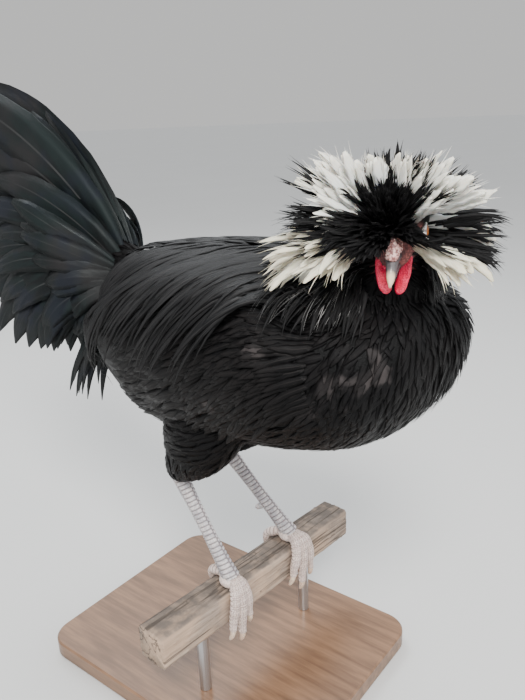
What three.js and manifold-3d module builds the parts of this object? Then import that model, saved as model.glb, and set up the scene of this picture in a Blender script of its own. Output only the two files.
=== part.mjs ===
// A life-size crested cockerel standing on a cut length of square rail, held by a display stand.
// Millimetres, +Z up. The origin is the middle of the stand's underside. In the bird's group +X is forward
// along the body, +Y is its left side, and the group's origin is the top of the rail between the feet.
import * as THREE from "three";
import { mergeVertices } from "three/addons/utils/BufferGeometryUtils.js";
import Module from "manifold-3d";

const wasm = await Module();
wasm.setup();

// Driving dimensions: the stand
const baseLength = 270;
const baseWidth = 210;
const baseThick = 16;
const baseCentreX = -35;
const rodRadius = 5;
const rodVisible = 62;
const rodSpacing = 130;
const railSide = 28;
const railLength = 230;
const railYaw = THREE.MathUtils.degToRad(-5);

// Driving dimensions: the bird
const gap = 0.3;
const footSpread = 38;
const footForward = { right: 6, left: 8 };
const hockRight = [-43, -40, 89];
const hockLeft = [-46, 22, 84];
const shankRadius = 6.2;
const toeRadius = 4.6;
const toeLengths = { inner: 38, middle: 50, outer: 42, hind: 20 };
const headCentre = new THREE.Vector3(139, -21, 298);
const headYaw = THREE.MathUtils.degToRad(-68);
const headPitch = THREE.MathUtils.degToRad(-22);
const eyeRadius = 5.2;
const eyePlace = [7, 14.2, 3];
const crestRadius = 23;
const crestPlace = [-3, 0, 10];
const wingShoulderX = 104;
const wingTipX = -112;
const wingBulge = 9;
const wingRootDepth = 3;
const wingGrowSpan = 60;
const vaneThick = 1;
const cleanLimit = 0.06;

const railTop = baseThick + rodVisible + railSide;

// Small helpers
const v3 = (x, y, z) => new THREE.Vector3(x, y, z);
const rad = THREE.MathUtils.degToRad;
const lerp = THREE.MathUtils.lerp;
const ramp = (x, from, to) => THREE.MathUtils.smoothstep(x, from, to);
const upward = v3(0, 0, 1);

function seeded(seed) {
  let state = seed;
  return () => {
    state = (state * 1664525 + 1013904223) % 4294967296;
    return state / 4294967296;
  };
}

// Reads a table of stations, [position, value, value, ...], as smooth curves of the position.
function stationCurves(stations) {
  const positions = stations.map((row) => row[0]);
  const values = stations.flatMap((row) => row.slice(1));
  const count = stations[0].length - 1;
  const curve = new THREE.CubicInterpolant(positions, values, count, new Float32Array(count));
  const [first, last] = [positions[0], positions.at(-1)];
  return (position) => Array.from(curve.evaluate(THREE.MathUtils.clamp(position, first, last)));
}

// Joins rings of equal length into a closed skin. A solid form has a fan over each end. A thin vane has the
// same triangles on both faces, so that they never meet where it bends, and a strip over each end.
function skinOver(rings, thin = false) {
  const size = rings[0].length;
  const points = rings.flat();
  const faces = [];
  for (let i = 0; i + 1 < rings.length; i++) {
    for (let j = 0; j < size; j++) {
      const next = (j + 1) % size;
      const [a, b] = [i * size + j, i * size + next];
      const [c, d] = [a + size, b + size];
      const back = thin && j >= size / 2;
      faces.push(...(back ? [a, b, c, b, d, c] : [a, b, d, a, d, c]));
    }
  }
  for (const [ring, turn] of [[0, -1], [rings.length - 1, 1]]) {
    if (thin) {
      const first = ring * size;
      for (let j = 0; j + 1 < size / 2; j++) {
        const [a, b] = [first + j, first + j + 1];
        const [c, d] = [first + size - 2 - j, first + size - 1 - j];
        faces.push(...(turn > 0 ? [a, b, c, a, c, d] : [c, b, a, d, c, a]));
      }
      continue;
    }
    const middle = rings[ring].reduce((sum, p) => sum.add(p), v3(0, 0, 0)).divideScalar(size);
    points.push(middle);
    for (let j = 0; j < size; j++) {
      const [a, b] = [ring * size + j, ring * size + ((j + 1) % size)];
      faces.push(...(turn > 0 ? [a, b, points.length - 1] : [b, a, points.length - 1]));
    }
  }
  const geometry = new THREE.BufferGeometry().setFromPoints(points);
  geometry.setIndex(faces);
  return geometry;
}

// Turns a closed geometry into a solid, with its faces outward.
function solidOf(geometry) {
  const bare = geometry.clone();
  bare.deleteAttribute("normal");
  bare.deleteAttribute("uv");
  const merged = mergeVertices(bare, 1e-4);
  const vertProperties = new Float32Array(merged.attributes.position.array);
  const triVerts = new Uint32Array(merged.index.array);
  const make = () => new wasm.Manifold(new wasm.Mesh({ numProp: 3, vertProperties, triVerts }));
  const solid = make();
  if (solid.volume() >= 0) return solid;
  for (let i = 0; i < triVerts.length; i += 3) {
    [triVerts[i + 1], triVerts[i + 2]] = [triVerts[i + 2], triVerts[i + 1]];
  }
  return make();
}

const fuse = (solids) => wasm.Manifold.union(solids);

// Cuts a solid by its neighbours and keeps the largest closed body.
function trim(solid, neighbours = []) {
  const cut = neighbours.length ? solid.subtract(fuse(neighbours)) : solid;
  const bodies = cut.asOriginal().simplify(cleanLimit).decompose();
  return bodies.reduce((best, body) => (body.volume() > best.volume() ? body : best));
}

function geometryOf(solid) {
  const mesh = solid.getMesh();
  const positions = new Float32Array(mesh.numVert * 3);
  for (let i = 0; i < mesh.numVert; i++) {
    positions.set(mesh.vertProperties.subarray(i * mesh.numProp, i * mesh.numProp + 3), i * 3);
  }
  return new THREE.BufferGeometry()
    .setAttribute("position", new THREE.BufferAttribute(positions, 3))
    .setIndex(new THREE.BufferAttribute(new Uint32Array(mesh.triVerts), 1));
}

// A round limb along a path: stations give [share of the path, half width, half depth]. Grown forms also
// reach past both ends.
function limb(path, stations, { rings = 8, sides = 12, side = v3(0, 1, 0), grow = 0 } = {}) {
  const sizes = stationCurves(stations);
  const made = [];
  for (let i = 0; i < rings; i++) {
    const t = i / (rings - 1);
    const along = path.getTangent(t);
    const past = i === 0 ? -grow : i === rings - 1 ? grow : 0;
    const centre = path.getPoint(t).addScaledVector(along, past);
    const across = side.clone().addScaledVector(along, -side.dot(along)).normalize();
    const out = new THREE.Vector3().crossVectors(along, across);
    const [halfWidth, halfDepth] = sizes(t);
    made.push(
      Array.from({ length: sides }, (_, j) => {
        const turn = (j / sides) * 2 * Math.PI;
        return centre
          .clone()
          .addScaledVector(across, Math.cos(turn) * (halfWidth + grow))
          .addScaledVector(out, Math.sin(turn) * (halfDepth + grow));
      }),
    );
  }
  return solidOf(skinOver(made));
}

// A feather: a thin slab along a path. The shape gives the half width at each of its evenly spaced stations,
// as a share of the full half width, and the crown lifts the shaft above the edges.
const featherShapes = {
  short: [0.75, 1, 0.8, 0.2],
  lance: [0.6, 0.85, 1, 0.72, 0.12],
  round: [0.6, 1, 0.95, 0.45],
  plume: [0.3, 0.8, 1, 0.85, 0.3],
  sickle: [0.3, 0.75, 1, 0.98, 0.9, 0.66, 0.1],
};

function feather({ path, face, halfWidth, shape, thick = vaneThick, crown = 0, grow = 0 }) {
  const last = shape.length - 1;
  const rings = shape.map((share, i) => {
    const t = i / last;
    const centre = path(t);
    const along = path(Math.min(1, t + 0.02)).sub(path(Math.max(0, t - 0.02))).normalize();
    const normal = face(t);
    normal.addScaledVector(along, -normal.dot(along)).normalize();
    const across = new THREE.Vector3().crossVectors(along, normal);
    const half = halfWidth * share + grow;
    const depth = (thick * lerp(1, 0.6, t)) / 2 + grow;
    const at = (x, z) => centre.clone().addScaledVector(across, x).addScaledVector(normal, z);
    const upper = [at(-half, depth), at(half, depth)];
    const lower = [at(half, -depth), at(-half, -depth)];
    if (crown) {
      upper.splice(1, 0, at(0, crown * share + depth));
      lower.splice(1, 0, at(0, crown * share - depth));
    }
    return [...upper, ...lower];
  });
  if (grow) {
    const end = path(1).sub(path(0.96)).setLength(grow);
    rings.at(-1).forEach((p) => p.add(end));
  }
  return solidOf(skinOver(rings, true));
}

// The torso: stations along the body, [x, centre height, half width, upper half, lower half].
const torsoStations = [
  [-127, 202, 12, 18, 30],
  [-120, 204, 34, 44, 62],
  [-104, 206, 53, 56, 78],
  [-72, 206, 68, 64, 88],
  [-24, 206, 78, 70, 85],
  [30, 209, 84, 70, 82],
  [78, 213, 86, 65, 77],
  [118, 217, 82, 54, 67],
  [146, 222, 66, 38, 50],
  [160, 226, 41, 23, 32],
  [166, 228, 14, 9, 12],
];
const torsoSizes = stationCurves(torsoStations);

// A point on the torso's surface: angle 0 is the back, 90 degrees the left flank, 180 the belly.
function onTorso(x, angle, offset = 0) {
  const [centre, halfWidth, upper, lower] = torsoSizes(x);
  const half = Math.cos(angle) > 0 ? upper : lower;
  return v3(x, Math.sin(angle) * (halfWidth + offset), centre + Math.cos(angle) * (half + offset));
}

// Moves a point that is nearer than the margin to the torso straight out of it.
function clearOfTorso(point, margin) {
  const [centre, halfWidth, upper, lower] = torsoSizes(point.x);
  const beyond = Math.max(0, point.x - torsoStations.at(-1)[0]);
  const half = (point.z > centre ? upper : lower) + margin;
  const reach = Math.hypot(point.y / (halfWidth + margin), (point.z - centre) / half, beyond / margin);
  if (reach >= 1) return point;
  const scale = 1 / Math.max(reach, 0.2);
  return v3(point.x, point.y * scale, centre + (point.z - centre) * scale);
}

const torsoFaceting = { rings: 15, sides: 22 };

function torsoCore(grow = 0) {
  const [first, last] = [torsoStations[0][0], torsoStations.at(-1)[0]];
  const { rings: count, sides } = torsoFaceting;
  const rings = Array.from({ length: count }, (_, i) => {
    const turn = (i / (count - 1)) * Math.PI;
    const x = lerp(last, first, (1 - Math.cos(turn)) / 2);
    const shift = grow * Math.cos(turn);
    return Array.from({ length: sides }, (_, j) => {
      const p = onTorso(x, (j / sides) * 2 * Math.PI, grow);
      p.x += shift;
      return p;
    });
  });
  return solidOf(skinOver(rings));
}

// The folded wing lies on the flank: across 0 is its upper edge and 1 its lower edge.
const wingEdges = stationCurves([
  [0, rad(60), rad(104)],
  [0.2, rad(47), rad(112)],
  [0.5, rad(47), rad(116)],
  [0.8, rad(64), rad(112)],
  [1, rad(82), rad(100)],
]);
const wingShare = (x) => (wingShoulderX - x) / (wingShoulderX - wingTipX);

function wingAngle(s, across) {
  const [top, bottom] = wingEdges(s);
  return lerp(top, bottom, across);
}

// How far the folded wing stands out of the flank there, 0 where there is no wing.
function wingCover(x, angle) {
  const s = wingShare(x);
  const [top, bottom] = wingEdges(s);
  const across = (Math.abs(angle) - top) / (bottom - top);
  const over = ramp(across, -0.35, 0.12) * (1 - ramp(across, 0.95, 1.35));
  return over * ramp(s, -0.12, 0.1) * (1 - ramp(s, 1, 1.25));
}

function wingPoint(s, across, side, lift = 0) {
  const x = lerp(wingShoulderX, wingTipX, s);
  const crowned = Math.sin(Math.PI * THREE.MathUtils.clamp(across, 0.06, 0.94)) ** 0.5;
  const along = ramp(s, -0.02, 0.16) * lerp(1, 0.5, s);
  return onTorso(x, side * wingAngle(s, across), 1 + wingBulge * crowned * along + lift);
}

const outwardAt = (angle) => v3(0, Math.sin(angle), Math.cos(angle));

function wingFeather(side, from, to, halfWidth, lifts, crown, grow) {
  const path = (t) => {
    const s = lerp(from[0], to[0], t);
    const across = lerp(from[1], to[1], t);
    return wingPoint(s, across, side, lerp(lifts[0], lifts[1], t));
  };
  const face = (t) => {
    const s = lerp(from[0], to[0], t);
    return outwardAt(side * wingAngle(s, lerp(from[1], to[1], t)));
  };
  return feather({ path, face, halfWidth, shape: featherShapes.round, grow, crown });
}

function wing(side, grow = 0) {
  const beyond = grow / wingGrowSpan;
  const columns = 6;
  const rings = Array.from({ length: 8 }, (_, i) => {
    const s = lerp(0.02 - beyond, 0.8 + beyond, i / 7);
    const across = Array.from({ length: columns }, (_, j) => lerp(-beyond, 1 + beyond, j / (columns - 1)));
    const x = lerp(wingShoulderX, wingTipX, s);
    const outer = across.map((share) => wingPoint(s, share, side, grow - 0.6));
    const inner = across.map((share) => onTorso(x, side * wingAngle(s, share), -wingRootDepth - grow));
    return [...outer, ...inner.reverse()];
  });
  const parts = [solidOf(skinOver(rings))];
  const draw = seeded(side > 0 ? 11 : 14);
  const flights = 5;
  for (let i = 0; i < flights; i++) {
    const row = i / (flights - 1);
    const from = [0.5 + 0.06 * (1 - row), 0.25 + 0.52 * row + 0.02 * draw()];
    const to = [1.02 - 0.14 * row, 0.3 + 0.56 * row];
    parts.push(wingFeather(side, from, to, 11.5, [-1.6, 1.4 - 1.6 * row], 0.8, grow));
  }
  const tiers = [
    { from: 0.3, to: 0.62, count: 4, half: 15 },
    { from: 0.08, to: 0.38, count: 4, half: 15 },
  ];
  for (const tier of tiers) {
    for (let i = 0; i < tier.count; i++) {
      const row = i / (tier.count - 1);
      const shift = 0.02 * draw();
      const across = lerp(0.14, 0.9, row);
      const from = [tier.from + shift, across];
      const to = [tier.to + shift, lerp(across, 0.52, 0.08) + 0.05];
      parts.push(wingFeather(side, from, to, tier.half, [-2.2, 2.1], 0, grow));
    }
  }
  return fuse(parts);
}

// Saddle feathers start on the back, pass over the wing's rear and hang behind the flank.
function saddleFeather(side, root, sweep, reach, halfWidth, grow) {
  const place = (t) => ({
    x: root.x - reach * (t - 0.14 * t * t),
    angle: side * (root.angle + sweep * t ** 1.3),
  });
  const path = (t) => {
    const { x, angle } = place(t);
    const over = lerp(-3.5, 2.2, ramp(t, 0, 0.3)) + (wingBulge + 4.2) * wingCover(x, angle);
    return onTorso(x, angle, over + 1.6 * t);
  };
  const face = (t) => outwardAt(place(t).angle);
  return feather({ path, face, halfWidth, grow, shape: featherShapes.lance });
}

function torso(grow = 0) {
  const parts = [torsoCore(grow)];
  const draw = seeded(5);
  const saddleHalfWidth = 6.4;
  const rows = [
    { x: -58, angles: [22, 36], sweep: 48, reach: 66 },
    { x: -26, angles: [6, 20, 34], sweep: 44, reach: 82 },
    { x: 10, angles: [8, 21, 33], sweep: 40, reach: 88 },
    { x: 44, angles: [14, 28], sweep: 36, reach: 84 },
  ];
  for (const side of [-1, 1]) {
    for (const row of rows) {
      for (const angle of row.angles) {
        const root = { x: row.x + 6 * draw(), angle: rad(angle + 4 * draw()) };
        const sweep = rad(row.sweep * (0.9 + 0.25 * draw()));
        const reach = row.reach * (0.92 + 0.16 * draw());
        parts.push(saddleFeather(side, root, sweep, reach, saddleHalfWidth, grow));
      }
    }
  }
  return fuse(parts);
}

// The tail: broad straight feathers in a steep fan, with long curved sickles over them.
const tailRoot = v3(-116, 0, 236);

function tailCore(grow = 0) {
  const path = new THREE.LineCurve3(v3(-98, 0, 224), v3(-150, 0, 262));
  return limb(path, [[0, 18, 24], [0.4, 19, 26], [0.8, 13, 20], [1, 5, 9]], { rings: 5, sides: 10, grow });
}

function tailFeather(side, { rise, length, curl, spread, half, start = 12, shape, crown = 1.2 }, grow) {
  const angle = rad(rise);
  const path = (t) => {
    const bend = angle - rad(curl) * t;
    const mean = (angle + bend) / 2;
    const far = start + (length - start) * t;
    const out = spread * Math.sin(Math.min(1, t * 1.1) * Math.PI * 0.5);
    return v3(
      tailRoot.x - Math.cos(mean) * far,
      side * (4 + out),
      tailRoot.z + Math.sin(mean) * far,
    );
  };
  const face = (t) => v3(0.12, side, 0.35 * Math.sin(angle) * t + 0.1);
  return feather({ path, face, halfWidth: half, shape, crown, grow, thick: vaneThick + 0.3 });
}

function tail(grow = 0) {
  const parts = [tailCore(grow)];
  const fan = [
    { rise: 50, length: 168, curl: 10, spread: 5 },
    { rise: 40, length: 175, curl: 10, spread: 11 },
    { rise: 30, length: 172, curl: 10, spread: 17 },
    { rise: 20, length: 164, curl: 10, spread: 23 },
    { rise: 10, length: 152, curl: 10, spread: 29 },
  ];
  const sickles = [
    { rise: 60, length: 305, curl: 62, spread: 14, half: 20 },
    { rise: 47, length: 250, curl: 72, spread: 27, half: 18 },
    { rise: 32, length: 205, curl: 78, spread: 36, half: 16 },
    { rise: 15, length: 168, curl: 80, spread: 42, half: 15 },
    { rise: -4, length: 135, curl: 66, spread: 44, half: 14 },
  ];
  for (const side of [-1, 1]) {
    for (const row of fan) {
      parts.push(tailFeather(side, { ...row, half: 18, crown: 0, shape: featherShapes.plume }, grow));
    }
    for (const row of sickles) {
      parts.push(tailFeather(side, { ...row, spread: row.spread + 6, shape: featherShapes.sickle }, grow));
    }
  }
  return fuse(parts);
}

// The neck: a tapered column from the breast to the head, under a cape of long feathers.
const neckPath = new THREE.CatmullRomCurve3([
  v3(84, 0, 212),
  v3(108, -3, 246),
  v3(128, -12, 274),
  v3(137, -19, 292),
]);
const neckGirth = { bottom: 46, top: 18 };

function neckCore(grow = 0) {
  const { bottom, top } = neckGirth;
  const stations = [[0, bottom, bottom - 2], [0.35, 42, 40], [0.7, 29, 28], [1, top, top]];
  return limb(neckPath, stations, { rings: 7, sides: 16, grow });
}

function hackle(height, turn, length, margin, halfWidth, grow) {
  const centre = neckPath.getPoint(height);
  const radius = lerp(neckGirth.bottom - 2, neckGirth.top, height);
  const out = v3(Math.cos(turn), Math.sin(turn), 0);
  const start = centre.clone().addScaledVector(out, radius - 9);
  const fall = Math.cos(turn) > 0 ? lerp(0.62, 0.95, Math.cos(turn)) : lerp(0.62, 0.35, -Math.cos(turn));
  const path = (t) => {
    const p = start.clone().addScaledVector(out, length * (0.72 * t - 0.18 * t * t));
    p.z += 8 * t - length * fall * t * t;
    const [torsoCentre] = torsoSizes(p.x);
    const over = 1 + (wingBulge + 3) * wingCover(p.x, Math.atan2(Math.abs(p.y), p.z - torsoCentre));
    return t < 0.2 ? p : clearOfTorso(p, margin + over);
  };
  const face = (t) => out.clone().setLength(lerp(0.75, 1, t)).addScaledVector(upward, lerp(0.9, 0.55, t));
  return feather({ path, face, halfWidth, grow, shape: featherShapes.lance });
}

function neck(grow = 0) {
  const parts = [neckCore(grow)];
  const draw = seeded(21);
  const hackleHalfWidth = 7.5;
  const tiers = [
    { height: 0.3, count: 12, length: 58, margin: 1.5 },
    { height: 0.6, count: 12, length: 64, margin: 4.5 },
    { height: 0.88, count: 10, length: 60, margin: 8 },
  ];
  tiers.forEach((tier, k) => {
    for (let i = 0; i < tier.count; i++) {
      const turn = ((i + 0.5 * (k % 2)) / tier.count) * 2 * Math.PI + 0.12 * (draw() - 0.5);
      const length = tier.length * (0.92 + 0.16 * draw());
      parts.push(hackle(tier.height, turn, length, tier.margin, hackleHalfWidth, grow));
    }
  });
  return fuse(parts);
}

// The head's own frame: x forward to the beak, y to the bird's left, z up.
const headForward = v3(
  Math.cos(headPitch) * Math.cos(headYaw),
  Math.cos(headPitch) * Math.sin(headYaw),
  Math.sin(headPitch),
);
const headLeft = v3(-Math.sin(headYaw), Math.cos(headYaw), 0);
const headUp = new THREE.Vector3().crossVectors(headForward, headLeft);
const headFrame = new THREE.Matrix4().makeBasis(headForward, headLeft, headUp).setPosition(headCentre);
const inHead = (x, y, z) => v3(x, y, z).applyMatrix4(headFrame);

// A rounded form in the head's frame: stations [x, centre height, half width, upper half, lower half].
function headForm(stations, { rings = 9, sides = 14, grow = 0 } = {}) {
  const sizes = stationCurves(stations);
  const [first, last] = [stations[0][0], stations.at(-1)[0]];
  const made = Array.from({ length: rings }, (_, i) => {
    const x = lerp(last, first, (1 - Math.cos((i / (rings - 1)) * Math.PI)) / 2);
    const [centre, halfWidth, upper, lower] = sizes(x);
    const shift = grow * Math.cos((i / (rings - 1)) * Math.PI);
    return Array.from({ length: sides }, (_, j) => {
      const turn = (j / sides) * 2 * Math.PI;
      const half = Math.cos(turn) > 0 ? upper : lower;
      return inHead(x + shift, Math.sin(turn) * (halfWidth + grow), centre + Math.cos(turn) * (half + grow));
    });
  });
  return solidOf(skinOver(made));
}

function ballInHead(place, radii, grow = 0, detail = [10, 7]) {
  const ball = new THREE.SphereGeometry(1, ...detail);
  ball.scale(radii[0] + grow, radii[1] + grow, radii[2] + grow);
  ball.translate(...place);
  ball.applyMatrix4(headFrame);
  return solidOf(ball);
}

const eyeAt = (side) => [eyePlace[0], side * (eyePlace[1] - 2.4), eyePlace[2]];
const eye = (side, grow = 0) => ballInHead(eyeAt(side), [eyeRadius, eyeRadius, eyeRadius], grow);

function eyelid(side, grow = 0) {
  const ring = new THREE.TorusGeometry(eyeRadius - 0.4, 1.15 + grow, 4, 10);
  ring.rotateX(Math.PI / 2);
  ring.scale(1.08, 1, 0.86);
  ring.translate(eyePlace[0], side * (eyePlace[1] + 0.5), eyePlace[2]);
  ring.applyMatrix4(headFrame);
  return solidOf(ring);
}

const headStations = [
  [-27, 0, 5, 5, 5],
  [-24, 0, 11, 12, 12],
  [-13, 0, 16, 17, 17],
  [0, 0, 16.5, 17, 17.5],
  [11, -1, 14.5, 13.5, 15],
  [19, -2, 11, 10, 12],
  [23, -2.5, 8, 7, 9],
];

function head(grow = 0) {
  const skull = headForm(headStations, { grow });
  const lids = [-1, 1].map((side) => eyelid(side, grow));
  const brow = [-1, 1].map((side) => ballInHead([7, side * 11.6, 9], [7, 4, 2.6], grow, [8, 6]));
  return fuse([skull, ...lids, ...brow]);
}

// The beak: the upper half hooks over the lower, with the line of the mouth between them.
function upperBeak(grow = 0) {
  const stations = [
    [20, -1.2, 6.6, 6.5, 2.6],
    [28, -1.6, 5.4, 5.8, 2.3],
    [35, -3, 4, 4.5, 2.2],
    [40, -5.6, 2.6, 3.5, 2.4],
    [44, -9, 1, 1.8, 1.5],
  ];
  return headForm(stations, { rings: 7, sides: 10, grow });
}

function lowerBeak(grow = 0) {
  const stations = [
    [19, -7, 5.8, 2.4, 3],
    [27, -7.2, 4.6, 2.1, 2.9],
    [34, -8.6, 3.2, 1.8, 2.4],
    [39, -10.4, 1.4, 0.9, 1.1],
  ];
  return headForm(stations, { rings: 5, sides: 10, grow });
}

// The raised nostrils: a fleshy knob over the root of the beak with a hole on each side.
function knob(grow = 0) {
  const lobes = [
    ballInHead([24, 0, 6], [7, 6, 5.6], grow, [10, 7]),
    ballInHead([29.5, 0, 3.6], [4.8, 4.6, 3.6], grow, [8, 6]),
  ];
  const made = fuse(lobes);
  if (grow) return made;
  const holes = [-1, 1].map((side) => ballInHead([28.5, side * 4.8, 3.4], [2, 1.6, 1.1], 0, [6, 4]));
  return made.subtract(fuse(holes));
}

// The small forked comb behind the knob.
function comb(grow = 0) {
  const horns = [-1, 1].map((side) => {
    const path = new THREE.QuadraticBezierCurve3(
      inHead(17, side * 2.5, 8),
      inHead(18, side * 5.5, 12),
      inHead(16, side * 7.5, 15),
    );
    return limb(path, [[0, 2.8, 2.3], [0.5, 2.4, 1.9], [1, 0.9, 0.8]], { rings: 4, sides: 7, grow });
  });
  return fuse([...horns, ballInHead([17, 0, 8.5], [3, 4, 3], grow, [8, 6])]);
}

// A wattle: a hanging lobe that is thin at its rim and folded at its root.
function wattle(side, grow = 0) {
  const path = new THREE.QuadraticBezierCurve3(
    inHead(19, side * 4.6, -7),
    inHead(26, side * 8, -13),
    inHead(26, side * 6.5, -26),
  );
  const lobe = limb(path, [[0, 4, 2.4], [0.3, 6.2, 2.4], [0.65, 7.4, 2.6], [0.88, 6.2, 2.2], [1, 2.4, 1]], {
    rings: 7,
    sides: 10,
    side: headForward.clone().addScaledVector(headLeft, side),
    grow,
  });
  const fold = ballInHead([17, side * 5.4, -9.5], [6, 2.4, 3.6], grow, [8, 6]);
  return fuse([lobe, fold]);
}

const earlobe = (side, grow = 0) => ballInHead([-5, side * 16, -6], [4.6, 1.9, 6.4], grow);

// The crest: feathers in rings round a dome on the skull, the outer ones arching over and hanging.
const crestRings = [
  { tilt: 12, count: 5, length: 17, droop: 0.05 },
  { tilt: 34, count: 8, length: 32, droop: 0.2 },
  { tilt: 56, count: 11, length: 46, droop: 0.3 },
  { tilt: 76, count: 11, length: 56, droop: 0.45, open: 38 },
  { tilt: 96, count: 10, length: 58, droop: 0.6, open: 60 },
];

function crestFeather(tilt, turn, length, droop, halfWidth, grow) {
  const local = v3(Math.sin(tilt) * Math.cos(turn), Math.sin(tilt) * Math.sin(turn), Math.cos(tilt));
  const out = local.transformDirection(headFrame);
  const centre = inHead(...crestPlace);
  const start = centre.clone().addScaledVector(out, crestRadius - 8);
  const path = (t) => {
    const p = start.clone().addScaledVector(out, (length + 8) * t * (1 - 0.12 * t));
    p.z += length * (0.16 * t - droop * t * t);
    return p;
  };
  const face = (t) => out.clone().multiplyScalar(0.35 + 0.3 * t).addScaledVector(upward, 1 - 0.3 * t);
  const shape = length < 30 ? featherShapes.short : featherShapes.lance;
  return feather({ path, face, halfWidth, shape, grow });
}

function crest(grow = 0) {
  const parts = [ballInHead(crestPlace, [crestRadius, crestRadius * 0.95, crestRadius * 0.8], grow, [12, 8])];
  const draw = seeded(33);
  const crestHalfWidth = 7;
  crestRings.forEach((ring, k) => {
    const half = rad(ring.open ?? 0);
    for (let i = 0; i < ring.count; i++) {
      const share = ring.open ? i / (ring.count - 1) : (i + 0.5 * (k % 2)) / ring.count;
      const turn = half + share * 2 * (Math.PI - half) + 0.14 * (draw() - 0.5);
      const tilt = rad(ring.tilt + 8 * (draw() - 0.5));
      const nearFace = 1 - 0.35 * Math.max(0, Math.cos(turn));
      const fullSide = 1 - 0.15 * Math.sin(turn);
      const length = ring.length * nearFace * fullSide * (0.88 + 0.24 * draw());
      parts.push(crestFeather(tilt, turn, length, ring.droop, crestHalfWidth, grow));
    }
  });
  return fuse(parts);
}

// A leg: the feathered thigh, the scaled shank, and the foot with its toes over the rail.
const legs = {
  right: { side: -1, hock: v3(...hockRight), foot: v3(footForward.right, -footSpread, 9) },
  left: { side: 1, hock: v3(...hockLeft), foot: v3(footForward.left, footSpread + 4, 9) },
};

function thigh({ side, hock }, grow = 0) {
  const top = v3(4, side * 44, 172);
  const bend = v3(-8, side * 50, 128);
  const end = hock.clone().add(v3(-2, 0, 4));
  const path = new THREE.QuadraticBezierCurve3(top, bend, end);
  const upper = [[0, 30, 40], [0.35, 27, 35], [0.65, 20, 26]];
  const lower = [[0.86, 14, 17], [0.96, 11, 12.5], [1, 9, 9.5]];
  return limb(path, [...upper, ...lower], { rings: 8, sides: 14, grow });
}

// Front scutes are steps in the shank's own rings, and a short spur stands on its inner back edge.
const scutes = 9;

function shank({ side, hock, foot: ankle }, grow = 0) {
  const from = hock.clone().add(v3(-2, 0, 5));
  const past = ankle.clone().sub(from).setLength(grow);
  const path = new THREE.LineCurve3(from.clone().sub(past), ankle.clone().add(past));
  const sides = 8;
  const rings = [];
  const along = path.getTangent(0);
  const across = v3(0, 1, 0).addScaledVector(along, -along.y).normalize();
  const front = new THREE.Vector3().crossVectors(across, along).negate();
  if (front.x < 0) front.negate();
  const girth = stationCurves([[0, 1.2], [0.12, 1.1], [0.3, 0.95], [0.7, 0.95], [0.9, 1.12], [1, 1.3]]);
  for (let i = 0; i < scutes; i++) {
    for (const [share, step] of [[0.04, 0.75], [0.92, 0]]) {
      const t = (i + share) / scutes;
      const [size] = girth(t);
      rings.push(
        Array.from({ length: sides }, (_, j) => {
          const turn = (j / sides) * 2 * Math.PI;
          const facing = Math.max(0, Math.cos(turn));
          const round = 1.12 - 0.14 * Math.abs(Math.sin(turn));
          const reach = shankRadius * size * round + facing * step + grow;
          return path
            .getPoint(t)
            .addScaledVector(front, Math.cos(turn) * reach)
            .addScaledVector(across, Math.sin(turn) * reach * 0.86);
        }),
      );
    }
  }
  const spurRoot = path.getPoint(0.66).addScaledVector(front, -3);
  const spurTip = spurRoot.clone().addScaledVector(front, -9).add(v3(0, -side * 5, 1));
  const spurSizes = [[0, 3.6, 3.6], [0.7, 2.7, 2.7], [1, 1.2, 1.2]];
  const spur = limb(new THREE.LineCurve3(spurRoot, spurTip), spurSizes, { rings: 3, sides: 6, grow });
  return fuse([solidOf(skinOver(rings)), spur]);
}

// The rail's own frame, turned a little about the vertical.
const railForward = v3(Math.cos(railYaw), Math.sin(railYaw), 0);
const railAlong = v3(-Math.sin(railYaw), Math.cos(railYaw), 0);
const onRail = (forward, along, up) =>
  v3(0, 0, up).addScaledVector(railForward, forward).addScaledVector(railAlong, along);

const toePlan = [
  { name: "inner", turn: 26, size: 0.94 },
  { name: "middle", turn: 2, size: 1 },
  { name: "outer", turn: -24, size: 0.92 },
];
const hindToeSize = 0.9;

// A front toe runs over the rail's top, bends at its edge and lies down the front face.
function toePath({ side, foot }, plan) {
  const along = foot.clone().dot(railAlong);
  const forward = foot.clone().dot(railForward);
  const drift = Math.tan(rad(plan.turn)) * -side;
  const high = toeRadius * plan.size;
  const edge = railSide / 2 + high;
  const down = toeLengths[plan.name] - (edge - forward);
  const at = (f, z, extra = 0) => onRail(f, along + drift * (f - forward + extra), z);
  return new THREE.CatmullRomCurve3([
    at(forward - 1, high + 2.5),
    at(lerp(forward, edge, 0.55), high + 3),
    at(edge - 1.5, high + 0.5),
    at(edge + 1.6, -5, 3),
    at(edge + 0.4, -down * 0.62, 8),
    at(edge + 0.2, -down, 12),
  ]);
}

function hindPath({ side, foot }) {
  const along = foot.dot(railAlong);
  const forward = foot.dot(railForward);
  const edge = -railSide / 2 - toeRadius;
  return new THREE.CatmullRomCurve3([
    onRail(forward - 1, along, toeRadius + 2.5),
    onRail(lerp(forward, edge, 0.6), along - side * 3, toeRadius + 1.6),
    onRail(edge + 0.6, along - side * 5, 0.5),
    onRail(edge, along - side * 6, -toeLengths.hind * 0.5),
  ]);
}

const toeStations = (size) => [
  [0, 6.2 * size, 5.2 * size],
  [0.25, toeRadius * size, toeRadius * size],
  [0.5, toeRadius * size * 1.06, toeRadius * size * 0.96],
  [0.8, toeRadius * size * 0.9, toeRadius * size * 0.86],
  [1, toeRadius * size * 0.66, toeRadius * size * 0.66],
];

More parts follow.
